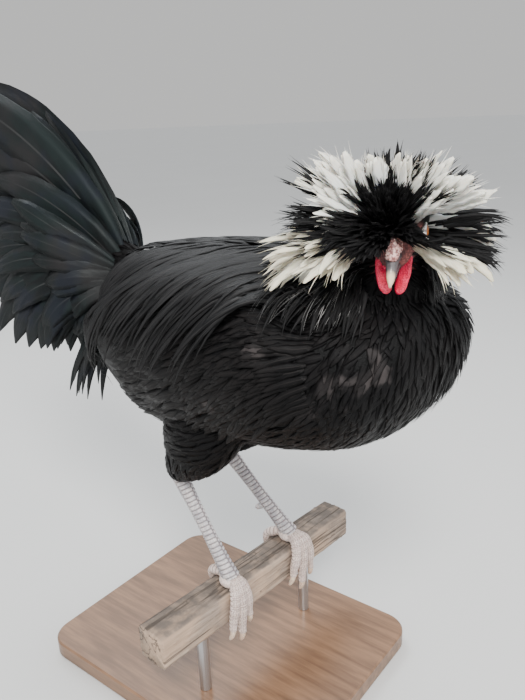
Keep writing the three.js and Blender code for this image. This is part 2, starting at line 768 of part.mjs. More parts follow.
function foot(leg, grow = 0) {
  const along = leg.foot.dot(railAlong);
  const forward = leg.foot.dot(railForward);
  const pad = new THREE.SphereGeometry(1, 10, 7);
  pad.scale(9.5 + grow, 9 + grow, 6.2 + grow);
  pad.translate(...onRail(forward - 1, along, 6.6).toArray());
  const section = { sides: 7, grow, side: railAlong };
  const toe = (plan) => limb(toePath(leg, plan), toeStations(plan.size), { rings: 9, ...section });
  const toes = toePlan.map(toe);
  const hind = limb(hindPath(leg), toeStations(hindToeSize), { rings: 6, ...section });
  return fuse([solidOf(pad), ...toes, hind]);
}

// A claw carries on from the end of its toe and curves in under the rail.
function claw(path, size, inward, grow = 0) {
  const end = path.getPoint(1);
  const heading = path.getTangent(1);
  const from = end.clone().addScaledVector(heading, gap);
  const bend = end.clone().addScaledVector(heading, 6);
  const tip = end.clone().addScaledVector(heading, 10.5).addScaledVector(inward, 3.5);
  const curve = new THREE.QuadraticBezierCurve3(from, bend, tip);
  return limb(curve, [[0, 2.9 * size, 2.9 * size], [0.6, 2 * size, 2.1 * size], [1, 0.6, 0.7]], {
    rings: 4,
    sides: 6,
    grow,
    side: railAlong,
  });
}

// The rail: an old square timber, its long edges worn off, its sides not quite flat.
function rail(grow = 0) {
  const half = railSide / 2 + grow;
  const worn = 3.2;
  const outline = new THREE.Shape();
  outline.moveTo(-half + worn, -half);
  outline.lineTo(half - worn, -half);
  outline.quadraticCurveTo(half, -half, half, -half + worn);
  outline.lineTo(half, half - worn);
  outline.quadraticCurveTo(half, half, half - worn, half);
  outline.lineTo(-half + worn, half);
  outline.quadraticCurveTo(-half, half, -half, half - worn);
  outline.lineTo(-half, -half + worn);
  outline.quadraticCurveTo(-half, -half, -half + worn, -half);
  const depth = railLength + 2 * grow;
  const bar = new THREE.ExtrudeGeometry(outline, { depth, bevelEnabled: false, curveSegments: 2 });
  bar.translate(0, 0, -depth / 2);
  bar.rotateX(-Math.PI / 2);
  bar.rotateZ(railYaw);
  bar.translate(0, 0, -railSide / 2);
  return solidOf(bar);
}

function standBase() {
  const corner = 22;
  const [halfLength, halfWidth] = [baseLength / 2, baseWidth / 2];
  const outline = new THREE.Shape();
  outline.moveTo(halfLength - corner, -halfWidth);
  outline.absarc(halfLength - corner, -halfWidth + corner, corner, -Math.PI / 2, 0);
  outline.absarc(halfLength - corner, halfWidth - corner, corner, 0, Math.PI / 2);
  outline.absarc(-halfLength + corner, halfWidth - corner, corner, Math.PI / 2, Math.PI);
  outline.absarc(-halfLength + corner, -halfWidth + corner, corner, Math.PI, 1.5 * Math.PI);
  const bevel = 1.5;
  const slab = new THREE.ExtrudeGeometry(outline, {
    depth: baseThick - 2 * bevel,
    bevelThickness: bevel,
    bevelSize: bevel,
    bevelOffset: -bevel,
    bevelSegments: 1,
    curveSegments: 5,
  });
  slab.translate(baseCentreX, 0, bevel);
  return solidOf(slab);
}

function standRod(end) {
  const length = rodVisible - 2 * gap;
  const rod = new THREE.CylinderGeometry(rodRadius, rodRadius, length, 16);
  rod.rotateX(Math.PI / 2);
  const place = railAlong.clone().multiplyScalar((end * rodSpacing) / 2);
  rod.translate(place.x, place.y, baseThick + gap + length / 2);
  return solidOf(rod);
}

// Materials
function finish(color, roughness, metalness = 0) {
  return new THREE.MeshStandardMaterial({ color, roughness, metalness });
}

const looks = {
  plumage: finish(0x15141a, 0.45),
  tailPlumage: finish(0x1c2428, 0.35),
  crestPlumage: finish(0xe6e3da, 0.7),
  face: finish(0x5c4744, 0.6),
  flesh: finish(0xd8a49c, 0.5),
  wattle: finish(0xc81f38, 0.4),
  lobe: finish(0xe9e6e4, 0.6),
  horn: finish(0xcdb9a4, 0.4),
  eye: finish(0x2a1a12, 0.1),
  scales: finish(0xcfc9c6, 0.6),
  claws: finish(0xe0c3a6, 0.4),
  timber: finish(0x9c8f82, 0.9),
  standWood: finish(0x6b4a30, 0.5),
  rods: finish(0x8a8d90, 0.35, 0.9),
};

const bird = new THREE.Group();
bird.position.z = railTop;
const stand = new THREE.Group();
const model = new THREE.Group();
model.add(stand, bird);

function addNode(group, name, solid, material) {
  const mesh = new THREE.Mesh(geometryOf(solid), material);
  mesh.name = name;
  group.add(mesh);
}

// Each form gives way to those listed for it, grown by the gap.
const sides = { right: -1, left: 1 };
const grownTorso = torso(gap);
const grownHead = head(gap);
const grownKnob = knob(gap);
const grownUpper = upperBeak(gap);
const grownLower = lowerBeak(gap);
const grownEyes = Object.values(sides).map((side) => eye(side, gap));
const grownWings = Object.values(sides).map((side) => wing(side, gap));
const grownCrest = crest(gap);
const grownThighs = [legs.right, legs.left].map((leg) => thigh(leg, gap));
const grownRail = rail(gap);
const grownLobes = Object.values(sides).map((side) => earlobe(side, gap));
const grownWattles = Object.values(sides).map((side) => wattle(side, gap));
const grownComb = comb(gap);
const faceParts = [grownHead, grownUpper, grownLower, grownComb, grownKnob, ...grownLobes, ...grownWattles];
const bodyParts = [grownTorso, ...grownWings];

addNode(bird, "torso", trim(torso(), [...grownWattles, grownLower, grownHead]), looks.plumage);
addNode(bird, "neck", trim(neck(), [...bodyParts, ...faceParts, grownCrest]), looks.plumage);
addNode(bird, "head", trim(head(), grownEyes), looks.face);
addNode(bird, "crest", trim(crest(), [...bodyParts, ...faceParts, ...grownEyes]), looks.crestPlumage);
addNode(bird, "tail", trim(tail(), bodyParts), looks.tailPlumage);
addNode(bird, "beak_upper", trim(upperBeak(), [grownHead]), looks.horn);
addNode(bird, "beak_lower", trim(lowerBeak(), [grownHead, grownUpper]), looks.horn);
addNode(bird, "nostril_knob", trim(knob(), [grownHead, grownUpper]), looks.flesh);
addNode(bird, "comb", trim(comb(), [grownHead, grownKnob, grownUpper]), looks.wattle);

for (const [index, [word, side]] of Object.entries(sides).entries()) {
  const leg = legs[word];
  const rightFirst = (solids) => solids.slice(0, index);
  addNode(bird, `wing_${word}`, trim(wing(side), [grownTorso]), looks.plumage);
  addNode(bird, `eye_${word}`, trim(eye(side)), looks.eye);
  addNode(bird, `earlobe_${word}`, trim(earlobe(side), [grownHead]), looks.lobe);
  const nearWattle = [grownHead, grownLower, grownUpper, ...rightFirst(grownWattles)];
  addNode(bird, `wattle_${word}`, trim(wattle(side), nearWattle), looks.wattle);
  const nearThigh = [grownTorso, grownWings[index], ...rightFirst(grownThighs)];
  addNode(bird, `thigh_${word}`, trim(thigh(leg), nearThigh), looks.plumage);
  addNode(bird, `shank_${word}`, trim(shank(leg), [grownThighs[index]]), looks.scales);
  addNode(bird, `foot_${word}`, trim(foot(leg), [grownRail, shank(leg, gap)]), looks.scales);
  const nearClaw = [grownRail, foot(leg, gap)];
  for (const plan of toePlan) {
    const frontClaw = claw(toePath(leg, plan), plan.size, railForward.clone().negate());
    addNode(bird, `claw_${word}_${plan.name}`, trim(frontClaw, nearClaw), looks.claws);
  }
  const hindClaw = claw(hindPath(leg), hindToeSize, railForward);
  addNode(bird, `claw_${word}_hind`, trim(hindClaw, nearClaw), looks.claws);
}

addNode(bird, "stand_rail", trim(rail()), looks.timber);
addNode(stand, "stand_base", trim(standBase()), looks.standWood);
addNode(stand, "stand_rod_near", trim(standRod(-1)), looks.rods);
addNode(stand, "stand_rod_far", trim(standRod(1)), looks.rods);

export default model;
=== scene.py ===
import bpy
import math
import numpy as np
from mathutils import Matrix, Vector, noise
from mathutils.bvhtree import BVHTree


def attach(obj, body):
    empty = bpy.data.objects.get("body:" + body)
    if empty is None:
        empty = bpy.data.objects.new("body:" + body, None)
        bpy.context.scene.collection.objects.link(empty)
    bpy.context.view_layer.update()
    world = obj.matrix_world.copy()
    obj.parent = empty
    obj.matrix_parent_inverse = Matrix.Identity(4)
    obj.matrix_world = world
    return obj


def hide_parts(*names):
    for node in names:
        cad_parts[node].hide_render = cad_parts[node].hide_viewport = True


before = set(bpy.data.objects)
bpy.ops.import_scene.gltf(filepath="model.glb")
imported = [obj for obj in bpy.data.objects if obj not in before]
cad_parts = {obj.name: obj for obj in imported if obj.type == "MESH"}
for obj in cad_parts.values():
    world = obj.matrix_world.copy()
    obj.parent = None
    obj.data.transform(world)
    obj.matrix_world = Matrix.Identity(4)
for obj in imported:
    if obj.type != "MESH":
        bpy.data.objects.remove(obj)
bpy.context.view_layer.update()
root = "root"

# All shapes are worked out in millimetres in the bird's own axes: x forward along the body, y to its left,
# z up from the top of the rail. toWorld turns them into the frame's metres.
railTop = 106.0
draw = np.random.default_rng(7)


def toWorld(points):
    return (np.asarray(points, float) + np.array([0, 0, railTop])) * 0.001


def fromWorld(points):
    return np.asarray(points, float) * 1000 - np.array([0, 0, railTop])


def unit(vectors):
    vectors = np.asarray(vectors, float)
    return vectors / np.maximum(np.linalg.norm(vectors, axis=-1, keepdims=True), 1e-9)


def ramp(x, low, high):
    t = np.clip((np.asarray(x, float) - low) / (high - low), 0, 1)
    return t * t * (3 - 2 * t)


def mix(a, b, t):
    return a + (b - a) * t


# Reads a table of stations, [position, value, value, ...], as smooth curves of the position.
def stationCurves(stations):
    table = np.array(stations, float)
    places, values = table[:, 0], table[:, 1:]
    slopes = np.gradient(values, places, axis=0)

    def read(position):
        position = np.clip(np.asarray(position, float), places[0], places[-1])
        i = np.clip(np.searchsorted(places, position) - 1, 0, len(places) - 2)
        span = places[i + 1] - places[i]
        t = ((position - places[i]) / span)[..., None]
        span = span[..., None]
        before, after = values[i], values[i + 1]
        rise, fall = slopes[i] * span, slopes[i + 1] * span
        blend = (2 * t**3 - 3 * t**2 + 1) * before + (t**3 - 2 * t**2 + t) * rise
        return np.moveaxis(blend + (3 * t**2 - 2 * t**3) * after + (t**3 - t**2) * fall, -1, 0)

    return read


# A smooth path through a few points, read at t from 0 to 1.
def pathThrough(points):
    points = np.array(points, float)
    return lambda t: stationCurves(np.column_stack([np.linspace(0, 1, len(points)), points]))(t).T


def placed(name, data):
    thing = bpy.data.objects.new(name, data)
    bpy.context.scene.collection.objects.link(thing)
    return thing


# A smooth mesh object from points in millimetres and faces of four corners, or of three.
def meshPiece(name, points, faces):
    mesh = bpy.data.meshes.new(name)
    mesh.from_pydata(toWorld(points).tolist(), [], [list(map(int, face)) for face in faces])
    mesh.validate()
    mesh.update()
    mesh.shade_smooth()
    return placed(name, mesh)


# Points and faces of a closed skin over rings of equal length.
def overRings(rings):
    rings = np.asarray(rings, float)
    count, size = rings.shape[:2]
    points = np.vstack([rings.reshape(-1, 3), rings[0].mean(0), rings[-1].mean(0)])
    faces = []
    for i in range(count - 1):
        for j in range(size):
            k = (j + 1) % size
            faces.append((i * size + j, i * size + k, (i + 1) * size + k, (i + 1) * size + j))
    first, last = count * size, count * size + 1
    for j in range(size):
        k = (j + 1) % size
        faces.append((first, k, j))
        faces.append((last, (count - 1) * size + j, (count - 1) * size + k))
    return points, faces


def joined(parts):
    points, faces, start = [], [], 0
    for partPoints, partFaces in parts:
        points.append(partPoints)
        faces += [tuple(start + corner for corner in face) for face in partFaces]
        start += len(partPoints)
    return np.vstack(points), faces


# A round limb along a path: stations give [share of the path, half width, half depth].
def limb(path, stations, rings, sides, side=(0, 1, 0), swell=None):
    t = np.linspace(0, 1, rings)
    centre = path(t)
    along = unit(np.gradient(centre, axis=0))
    side = np.asarray(side, float)
    across = unit(side - along * (along @ side)[:, None])
    out = np.cross(along, across)
    wide, deep = stationCurves(stations)(t)
    turn = np.linspace(0, 2 * math.pi, sides, endpoint=False)
    lift = swell(t[:, None], turn[None, :]) if swell else 0
    first = (np.cos(turn) * (wide[:, None] + lift))[..., None] * across[:, None]
    second = (np.sin(turn) * (deep[:, None] + lift))[..., None] * out[:, None]
    return overRings(centre[:, None] + first + second)


# Joins closed forms into one skin by a fine voxel remesh, and smooths the joins.
def fusedSkin(name, forms, voxel, smoothing):
    points, faces = joined(forms)
    piece = meshPiece(name, points, faces)
    remesh = piece.modifiers.new("remesh", "REMESH")
    remesh.mode = "VOXEL"
    remesh.voxel_size = voxel * 0.001
    relax = piece.modifiers.new("relax", "SMOOTH")
    relax.iterations = smoothing
    relax.factor = 0.5
    found = bpy.context.evaluated_depsgraph_get()
    mesh = bpy.data.meshes.new_from_object(piece.evaluated_get(found))
    piece.modifiers.clear()
    piece.data = mesh
    mesh.shade_smooth()
    return piece


def readVertices(piece, kind):
    flat = np.empty(len(piece.data.vertices) * 3)
    piece.data.vertices.foreach_get(kind, flat)
    return flat.reshape(-1, 3)


def pointsOf(piece):
    return fromWorld(readVertices(piece, "co"))


def normalsOf(piece):
    return readVertices(piece, "normal")


def movePoints(piece, points):
    piece.data.vertices.foreach_set("co", toWorld(points).ravel())
    piece.data.update()


def noiseAt(points, scale, seed):
    return np.array([noise.noise(Vector(p * scale) + Vector((seed, seed, seed))) for p in points])


# The body's forms. Stations give [x, centre height, half width, upper half, lower half].
torso = {
    "stations": [
        [-127, 202, 12, 18, 30], [-120, 204, 34, 44, 62], [-104, 206, 53, 56, 78], [-72, 206, 68, 64, 88],
        [-24, 206, 78, 70, 85], [30, 209, 84, 70, 82], [78, 213, 86, 65, 77], [118, 217, 82, 54, 67],
        [146, 222, 66, 38, 50], [160, 226, 41, 23, 32], [166, 228, 14, 9, 12],
    ],
    "coat": 2.5,
}
torsoSizes = stationCurves(torso["stations"])


def onTorso(x, angle, offset):
    x, angle = np.broadcast_arrays(np.asarray(x, float), np.asarray(angle, float))
    centre, halfWidth, upper, lower = torsoSizes(x)
    half = np.where(np.cos(angle) > 0, upper, lower)
    return np.stack([x, np.sin(angle) * (halfWidth + offset), centre + np.cos(angle) * (half + offset)], -1)


def torsoAngle(points):
    centre = torsoSizes(points[..., 0])[0]
    return np.arctan2(points[..., 1], points[..., 2] - centre)


def outwardAt(angle):
    angle = np.asarray(angle, float)
    return np.stack([np.zeros_like(angle), np.sin(angle), np.cos(angle)], -1)


bothSides = (("right", -1), ("left", 1))

# The wing's edges give [share from the shoulder to the tip, upper and lower edge in degrees round the body].
wing = {
    "shoulderX": 104,
    "tipX": -112,
    "bulge": 9,
    "edges": [[0, 60, 104], [0.2, 47, 112], [0.5, 47, 116], [0.8, 64, 112], [1, 82, 100]],
}
wingEdges = stationCurves([[s, math.radians(a), math.radians(b)] for s, a, b in wing["edges"]])


def wingShare(x):
    return (wing["shoulderX"] - x) / (wing["shoulderX"] - wing["tipX"])


def wingAngle(s, across):
    top, bottom = wingEdges(s)
    return mix(top, bottom, across)


# How far the folded wing stands out of the flank there, 0 where there is no wing.
def wingCover(x, angle):
    s = wingShare(np.asarray(x, float))
    top, bottom = wingEdges(s)
    across = (np.abs(angle) - top) / (bottom - top)
    over = ramp(across, -0.35, 0.12) * (1 - ramp(across, 0.95, 1.35))
    return over * ramp(s, -0.12, 0.1) * (1 - ramp(s, 1, 1.25))


def wingPoint(s, across, side, lift):
    x = mix(wing["shoulderX"], wing["tipX"], s)
    crowned = np.sin(math.pi * np.clip(across, 0.06, 0.94)) ** 0.5
    along = ramp(s, -0.02, 0.16) * mix(1, 0.5, s)
    return onTorso(x, side * wingAngle(s, across), 1 + wing["bulge"] * crowned * along + lift)


neck = {
    "path": [(84, 0, 212), (108, -3, 246), (128, -12, 274), (137, -19, 292)],
    "stations": [[0, 43, 41], [0.35, 39, 37], [0.7, 26, 25], [1, 16, 16]],
    "bottom": 46,
    "top": 18,
}
neckPath = pathThrough(neck["path"])

head = {
    "centre": np.array([139.0, -21.0, 298.0]),
    "yaw": math.radians(-68),
    "pitch": math.radians(-22),
    "stations": [
        [-27, 0, 5, 5, 5], [-24, 0, 11, 12, 12], [-13, 0, 16, 17, 17], [0, 0, 16.5, 17, 17.5],
        [11, -1, 14.5, 13.5, 15], [19, -2, 11, 10, 12], [23, -2.5, 8, 7, 9],
    ],
    "eyePlace": np.array([5.5, 14.4, 5.0]),
    "eyeRadius": 5.2,
    "middle": np.array([0, 0, 4]),
}
cosYaw, sinYaw = math.cos(head["yaw"]), math.sin(head["yaw"])
cosPitch, sinPitch = math.cos(head["pitch"]), math.sin(head["pitch"])
headForward = np.array([cosPitch * cosYaw, cosPitch * sinYaw, sinPitch])
headLeft = np.array([-sinYaw, cosYaw, 0])
headUp = np.cross(headForward, headLeft)
headAxes = np.array([headForward, headLeft, headUp])


def inHead(points):
    return head["centre"] + np.asarray(points, float) @ headAxes


def fromHead(points):
    return (np.asarray(points, float) - head["centre"]) @ headAxes.T


# A rounded form in the head's frame: stations [x, centre height, half width, upper half, lower half].
def headForm(stations, rings, sides, swell=None):
    table = np.array(stations, float)
    share = (1 - np.cos(np.linspace(0, math.pi, rings))) / 2
    x = mix(table[-1, 0], table[0, 0], share)
    centre, halfWidth, upper, lower = (row[:, None] for row in stationCurves(stations)(x))
    turn = np.linspace(0, 2 * math.pi, sides, endpoint=False)[None, :]
    lift = swell(x[:, None], turn) if swell else 0
    half = np.where(np.cos(turn) > 0, upper, lower) + lift
    x, y, z = x[:, None] + 0 * turn, np.sin(turn) * (halfWidth + lift), centre + np.cos(turn) * half
    return overRings(inHead(np.stack([x, y, z], -1)))


def ballForm(place, radii, local=True, rings=20, sides=28):
    share = np.linspace(0.02, math.pi - 0.02, rings)
    turn = np.linspace(0, 2 * math.pi, sides, endpoint=False)
    x = np.cos(share)[:, None] + 0 * turn
    y = np.sin(share)[:, None] * np.cos(turn)
    z = np.sin(share)[:, None] * np.sin(turn)
    shaped = np.stack([x, y, z], -1) * np.asarray(radii, float) + np.asarray(place, float)
    return overRings(inHead(shaped) if local else shaped)


legs = {
    "right": {"side": -1, "hock": np.array([-43.0, -40.0, 89.0]), "foot": np.array([6.0, -38.0, 9.0])},
    "left": {"side": 1, "hock": np.array([-46.0, 22.0, 84.0]), "foot": np.array([8.0, 42.0, 9.0])},
    "thigh": [[0, 30, 40], [0.35, 27, 35], [0.65, 20, 26], [0.86, 14, 17], [0.96, 11, 12.5], [1, 9, 9.5]],
    "shankRadius": 6.2,
    "toeRadius": 4.6,
    "toeLengths": {"inner": 38, "middle": 50, "outer": 42, "hind": 20},
}


def bezier(points):
    a, b, c = (np.array(p, float) for p in points)

    def read(t):
        t = np.asarray(t)[..., None]
        return (1 - t) ** 2 * a + 2 * (1 - t) * t * b + t**2 * c

    return read


def thighPath(leg):
    side = leg["side"]
    return bezier([(4, side * 44, 172), (-8, side * 50, 128), leg["hock"] + np.array([-2, 0, 4])])


# The skin under the feathers.
def torsoForm():
    turn = np.linspace(0, 2 * math.pi, 72, endpoint=False)
    x = mix(165, -126, (1 - np.cos(np.linspace(0, math.pi, 60))) / 2)
    return overRings(onTorso(x[:, None], turn[None, :], -torso["coat"]))


def wingForm(side):
    s = np.linspace(0.03, 0.8, 40)[:, None]
    across = np.linspace(0, 1, 18)[None, :]
    outer = wingPoint(s, across, side, -2.4)
    inner = onTorso(mix(wing["shoulderX"], wing["tipX"], s), side * wingAngle(s, across), -5.0)
    return overRings(np.concatenate([outer, inner[:, ::-1]], axis=1))


skinForms = [torsoForm(), wingForm(-1), wingForm(1)]
skinForms.append(limb(neckPath, neck["stations"], rings=24, sides=40))
skinForms.append(headForm(head["stations"], 24, 32))
for word, side in bothSides:
    inner = [[t, w - 2, d - 2] for t, w, d in legs["thigh"]]
    skinForms.append(limb(thighPath(legs[word]), inner, rings=24, sides=32))
tailHeart = pathThrough([(-98, 0, 224), (-124, 0, 243), (-150, 0, 262)])
skinForms.append(limb(tailHeart, [[0, 16, 22], [0.4, 17, 24], [0.8, 11, 18], [1, 4, 8]], rings=14, sides=24))
for word, side in bothSides:
    skinForms.append(ballForm((7, side * 11.6, 9), (7, 4, 2.6)))
skinForms.append(ballForm((-3, 0, 10), (20, 19, 16)))
skin = fusedSkin("skin", skinForms, 2.1, 6)
print("skin", len(skin.data.polygons))

skinTree = BVHTree.FromObject(skin, bpy.context.evaluated_depsgraph_get())


def onSkin(point):
    found = skinTree.find_nearest(Vector(toWorld(point)))
    return fromWorld(found[0]), np.array(found[1])


# One feather is a thin closed vane: a crowned upper face, a keel below, thin edges. Outline tables give the
# half width along it, from the root to the tip.
outlines = {
    "silk": [0.45, 0.8, 1, 0.97, 0.84, 0.6, 0.14],
    "lance": [0.45, 0.7, 0.9, 1, 0.96, 0.86, 0.68, 0.42, 0.08],
    "plume": [0.3, 0.6, 0.84, 0.97, 1, 0.98, 0.9, 0.72, 0.25],
    "flight": [0.4, 0.78, 0.92, 1, 1, 1, 0.97, 0.9, 0.7, 0.25],
    "sickle": [0.22, 0.45, 0.68, 0.84, 0.95, 1, 1, 0.99, 0.96, 0.92, 0.85, 0.75, 0.6, 0.38, 0.06],
    "strand": [0.5, 0.8, 1, 0.85, 0.6, 0.3, 0.05],
}


def outlineOf(name, rings):
    table = outlines[name]
    return np.interp(np.linspace(0, 1, rings), np.linspace(0, 1, len(table)), table)


# A lay is the plan of many feathers with the same number of rings.
def newLay(path, face, halfWidth, outline, rootPlace, lot, crown, fray, thick=0.5):
    path = np.asarray(path, float)
    half = np.asarray(halfWidth, float).reshape(-1, 1) * outlineOf(outline, path.shape[1])[None, :]
    face = np.broadcast_to(np.asarray(face, float), path.shape)
    return {
        "path": path, "face": face, "half": half, "place": np.asarray(rootPlace, float),
        "lot": np.asarray(lot, float), "thick": thick, "crown": crown, "fray": fray,
    }


columnU = np.array([0, 0.25, 0.5, 0.75, 1, 0.5])
patchSize = 0.003


def layPoints(lay):
    path, half = lay["path"], lay["half"]
    count, rings = half.shape
    along = unit(np.gradient(path, axis=1))
    across = unit(np.cross(along, lay["face"]))
    normal = np.cross(across, along)
    left = half * (1 - lay["fray"] * draw.random((count, rings)))
    right = half * (1 - lay["fray"] * draw.random((count, rings)))
    t = np.linspace(0, 1, rings)[None, :]
    widest = half.max(axis=1, keepdims=True)
    crown = lay["crown"] * half
    thick = lay["thick"] * (1 - 0.75 * t) * (0.4 + 0.6 * half / widest)
    spots = [
        (-left, 0 * half), (-left * 0.5, crown * 0.78), (0 * half, crown),
        (right * 0.5, crown * 0.78), (right, 0 * half), (0 * half, crown - thick),
    ]
    columns = [path + across * x[..., None] + normal * z[..., None] for x, z in spots]
    return np.stack(columns, axis=2)


def finished(piece, material, slot, *nodes):
    piece.data.materials.clear()
    piece.data.materials.append(material)
    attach(piece, root)
    if nodes:
        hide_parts(*nodes)


# Builds one coat piece from its lays, with the vane map, the lot map and the OFBake map.
def coatPiece(name, lays, look, slot, nodes=()):
    coords, quads, vaneMaps, lotMaps, bakeMaps, start = [], [], [], [], [], 0
    for lay in lays:
        points = layPoints(lay)
        count, rings = points.shape[:2]
        i, j = np.meshgrid(np.arange(rings - 1), np.arange(6), indexing="ij")
        k = (j + 1) % 6
        walls = np.stack([i * 6 + j, i * 6 + k, (i + 1) * 6 + k, (i + 1) * 6 + j], -1).reshape(-1, 4)
        last = (rings - 1) * 6
        caps = np.array([
            [3, 2, 1, 0], [5, 4, 3, 0],
            [last, last + 1, last + 2, last + 3], [last, last + 3, last + 4, last + 5],
        ])
        pattern = np.vstack([walls, caps])
        shift = start + np.arange(count)[:, None, None] * rings * 6
        quads.append((pattern[None] + shift).reshape(-1, 4))
        coords.append(points.reshape(-1, 3))
        start += count * rings * 6
        share = np.repeat(np.linspace(0, 1, rings), 6)
        vane = np.stack([np.tile(columnU, rings), share], -1)
        vaneMaps.append(np.broadcast_to(vane[pattern.ravel()], (count, pattern.size, 2)).reshape(-1, 2))
        lotMaps.append(np.repeat(lay["lot"], pattern.size, axis=0))
        spread = (vane[pattern.ravel()] - 0.5) * patchSize
        place = 0.004 + 0.992 * np.mod(lay["place"], 1.0)
        bakeMaps.append((place[:, None] + spread[None]).reshape(-1, 2))
    points, faces = toWorld(np.vstack(coords)), np.vstack(quads)
    mesh = bpy.data.meshes.new(name)
    mesh.vertices.add(len(points))
    mesh.vertices.foreach_set("co", points.ravel())
    mesh.loops.add(faces.size)
    mesh.loops.foreach_set("vertex_index", faces.ravel().astype(np.int32))
    mesh.polygons.add(len(faces))
    mesh.polygons.foreach_set("loop_start", np.arange(0, faces.size, 4, dtype=np.int32))
    mesh.update(calc_edges=True)
    for mapName, maps in (("OFBake", bakeMaps), ("vane", vaneMaps), ("lot", lotMaps)):
        layer = mesh.uv_layers.new(name=mapName)
        layer.data.foreach_set("uv", np.vstack(maps).ravel().astype(np.float32))
    mesh.shade_smooth()
    finished(placed(name, mesh), plumages[look], slot, *nodes)
    print("coat", name, sum(len(lay["path"]) for lay in lays), "feathers", 2 * len(faces), "triangles")


def lots(count):
    return draw.random((count, 2))


# Materials are node trees: a value fed to a socket is a number, a tuple or another node's output.
def feed(tree, socket, value):
    if isinstance(value, bpy.types.NodeSocket):
        tree.links.new(value, socket)
    else:
        socket.default_value = (*value, 1) if socket.type == "RGBA" else value


def feedAll(tree, node, values):
    for key, value in values.items():
        feed(tree, node.inputs[key], value)


def put(tree, kind, **values):
    node = tree.nodes.new(kind)
    for key, value in values.items():
        if key in node.inputs:
            feed(tree, node.inputs[key], value)
        else:
            setattr(node, key, value)
    return node


# A new material, its tree, its shader and its object coordinates.
def newMaterial(name):
    material = bpy.data.materials.new(name)
    material.use_nodes = True
    tree = material.node_tree
    place = put(tree, "ShaderNodeTexCoord").outputs["Object"]
    return material, tree, tree.nodes["Principled BSDF"], place


def mathNode(tree, operation, *values):
    node = put(tree, "ShaderNodeMath", operation=operation)
    for socket, value in zip(node.inputs, values):
        feed(tree, socket, value)
    return node.outputs[0]


def times(tree, a, b):
    return mathNode(tree, "MULTIPLY", a, b)


def vectorNode(tree, operation, a, b):
    node = put(tree, "ShaderNodeVectorMath", operation=operation)
    for socket, value in zip(node.inputs, (a, b)):
        feed(tree, socket, value)
    return node.outputs


def cloud(tree, vector, scale, detail, **others):
    inputs = {"Vector": vector, "Scale": scale, "Detail": detail}
    return put(tree, "ShaderNodeTexNoise", **others, **inputs).outputs["Fac"]


def mixColor(tree, factor, a, b):
    node = put(tree, "ShaderNodeMix", data_type="RGBA")
    for index, value in ((0, factor), (6, a), (7, b)):
        feed(tree, node.inputs[index], value)
    return node.outputs[2]


def remap(tree, value, low, high, toLow=0.0, toHigh=1.0):
    node = put(tree, "ShaderNodeMapRange", interpolation_type="SMOOTHSTEP", Value=value)
    feedAll(tree, node, {"From Min": low, "From Max": high, "To Min": toLow, "To Max": toHigh})
    return node.outputs["Result"]


# A node group, what it is given and the node of what it puts out.
def newGroup(name, inputs, outputs):
    group = bpy.data.node_groups.new(name, "ShaderNodeTree")
    for socketName, kind, value in inputs:
        socket = group.interface.new_socket(socketName, in_out="INPUT", socket_type="NodeSocket" + kind)
        if value is not None:
            socket.default_value = (*value, 1) if kind == "Color" else value
    for socketName, kind in outputs:
        group.interface.new_socket(socketName, in_out="OUTPUT", socket_type="NodeSocket" + kind)
    return group, group.nodes.new("NodeGroupInput").outputs, group.nodes.new("NodeGroupOutput")


# Vane marks: barbs slanting off the shaft, painted sheen streaks, some feathers chosen by their lot painted
# wholly in the sheen colour, a paler shaft, and worn dull tips.
def makeVaneMarks():
    group, given, end = newGroup(
        "vaneMarks",
        [("Vane", "Vector", None), ("Lot", "Vector", None), ("Base", "Color", (0.01, 0.01, 0.012)),
         ("Sheen Color", "Color", (0.05, 0.05, 0.06)), ("Tip", "Color", (0.03, 0.02, 0.018)),
         ("Shaft", "Color", (0.1, 0.09, 0.08)), ("Barbs", "Float", 60.0), ("Sheen Amount", "Float", 0.4),
         ("Tip Wear", "Float", 0.3), ("Shaft Width", "Float", 0.05)],
        [("Color", "Color"), ("Roughness", "Float"), ("Height", "Float")],
    )
    across, along = put(group, "ShaderNodeSeparateXYZ", Vector=given["Vane"]).outputs[:2]
    lotA, lotB = put(group, "ShaderNodeSeparateXYZ", Vector=given["Lot"]).outputs[:2]
    off = mathNode(group, "ABSOLUTE", mathNode(group, "SUBTRACT", across, 0.5))
    slant = mathNode(group, "SUBTRACT", along, times(group, off, 0.5))
    ridge = mathNode(group, "SINE", times(group, times(group, slant, given["Barbs"]), 6.283))
    shifted = mathNode(group, "ADD", times(group, slant, 9.0), times(group, lotA, 40.0))
    aside, depth = times(group, off, 2.0), times(group, lotB, 30.0)
    spread = put(group, "ShaderNodeCombineXYZ", X=shifted, Y=aside, Z=depth)
    streaks = remap(group, cloud(group, spread.outputs[0], 1.0, 2.0), 0.35, 0.7)
    # colour: base, then painted sheen streaks, then whole feathers painted in the sheen colour by lot, then
    # the worn tip, then the shaft
    color = mixColor(group, times(group, streaks, given["Sheen Amount"]), given["Base"], given["Sheen Color"])
    sheenByLot = times(group, remap(group, lotA, 0.68, 1.0), given["Sheen Amount"])
    color = mixColor(group, sheenByLot, color, given["Sheen Color"])
    atTip = times(group, remap(group, along, 0.55, 1.0), given["Tip Wear"])
    color = mixColor(group, atTip, color, given["Tip"])
    # on the dark plumages the paler shaft is a painted highlight along it
    inShaft = mathNode(group, "LESS_THAN", off, given["Shaft Width"])
    fading = times(group, inShaft, remap(group, along, 0.2, 1.0, 0.8, 0.2))
    color = mixColor(group, fading, color, given["Shaft"])
    rough = mathNode(group, "ADD", 0.34, times(group, streaks, 0.2))
    rough = mathNode(group, "ADD", rough, times(group, lotB, 0.12))
    feedAll(group, end, {"Color": color, "Roughness": rough, "Height": ridge})
    return group


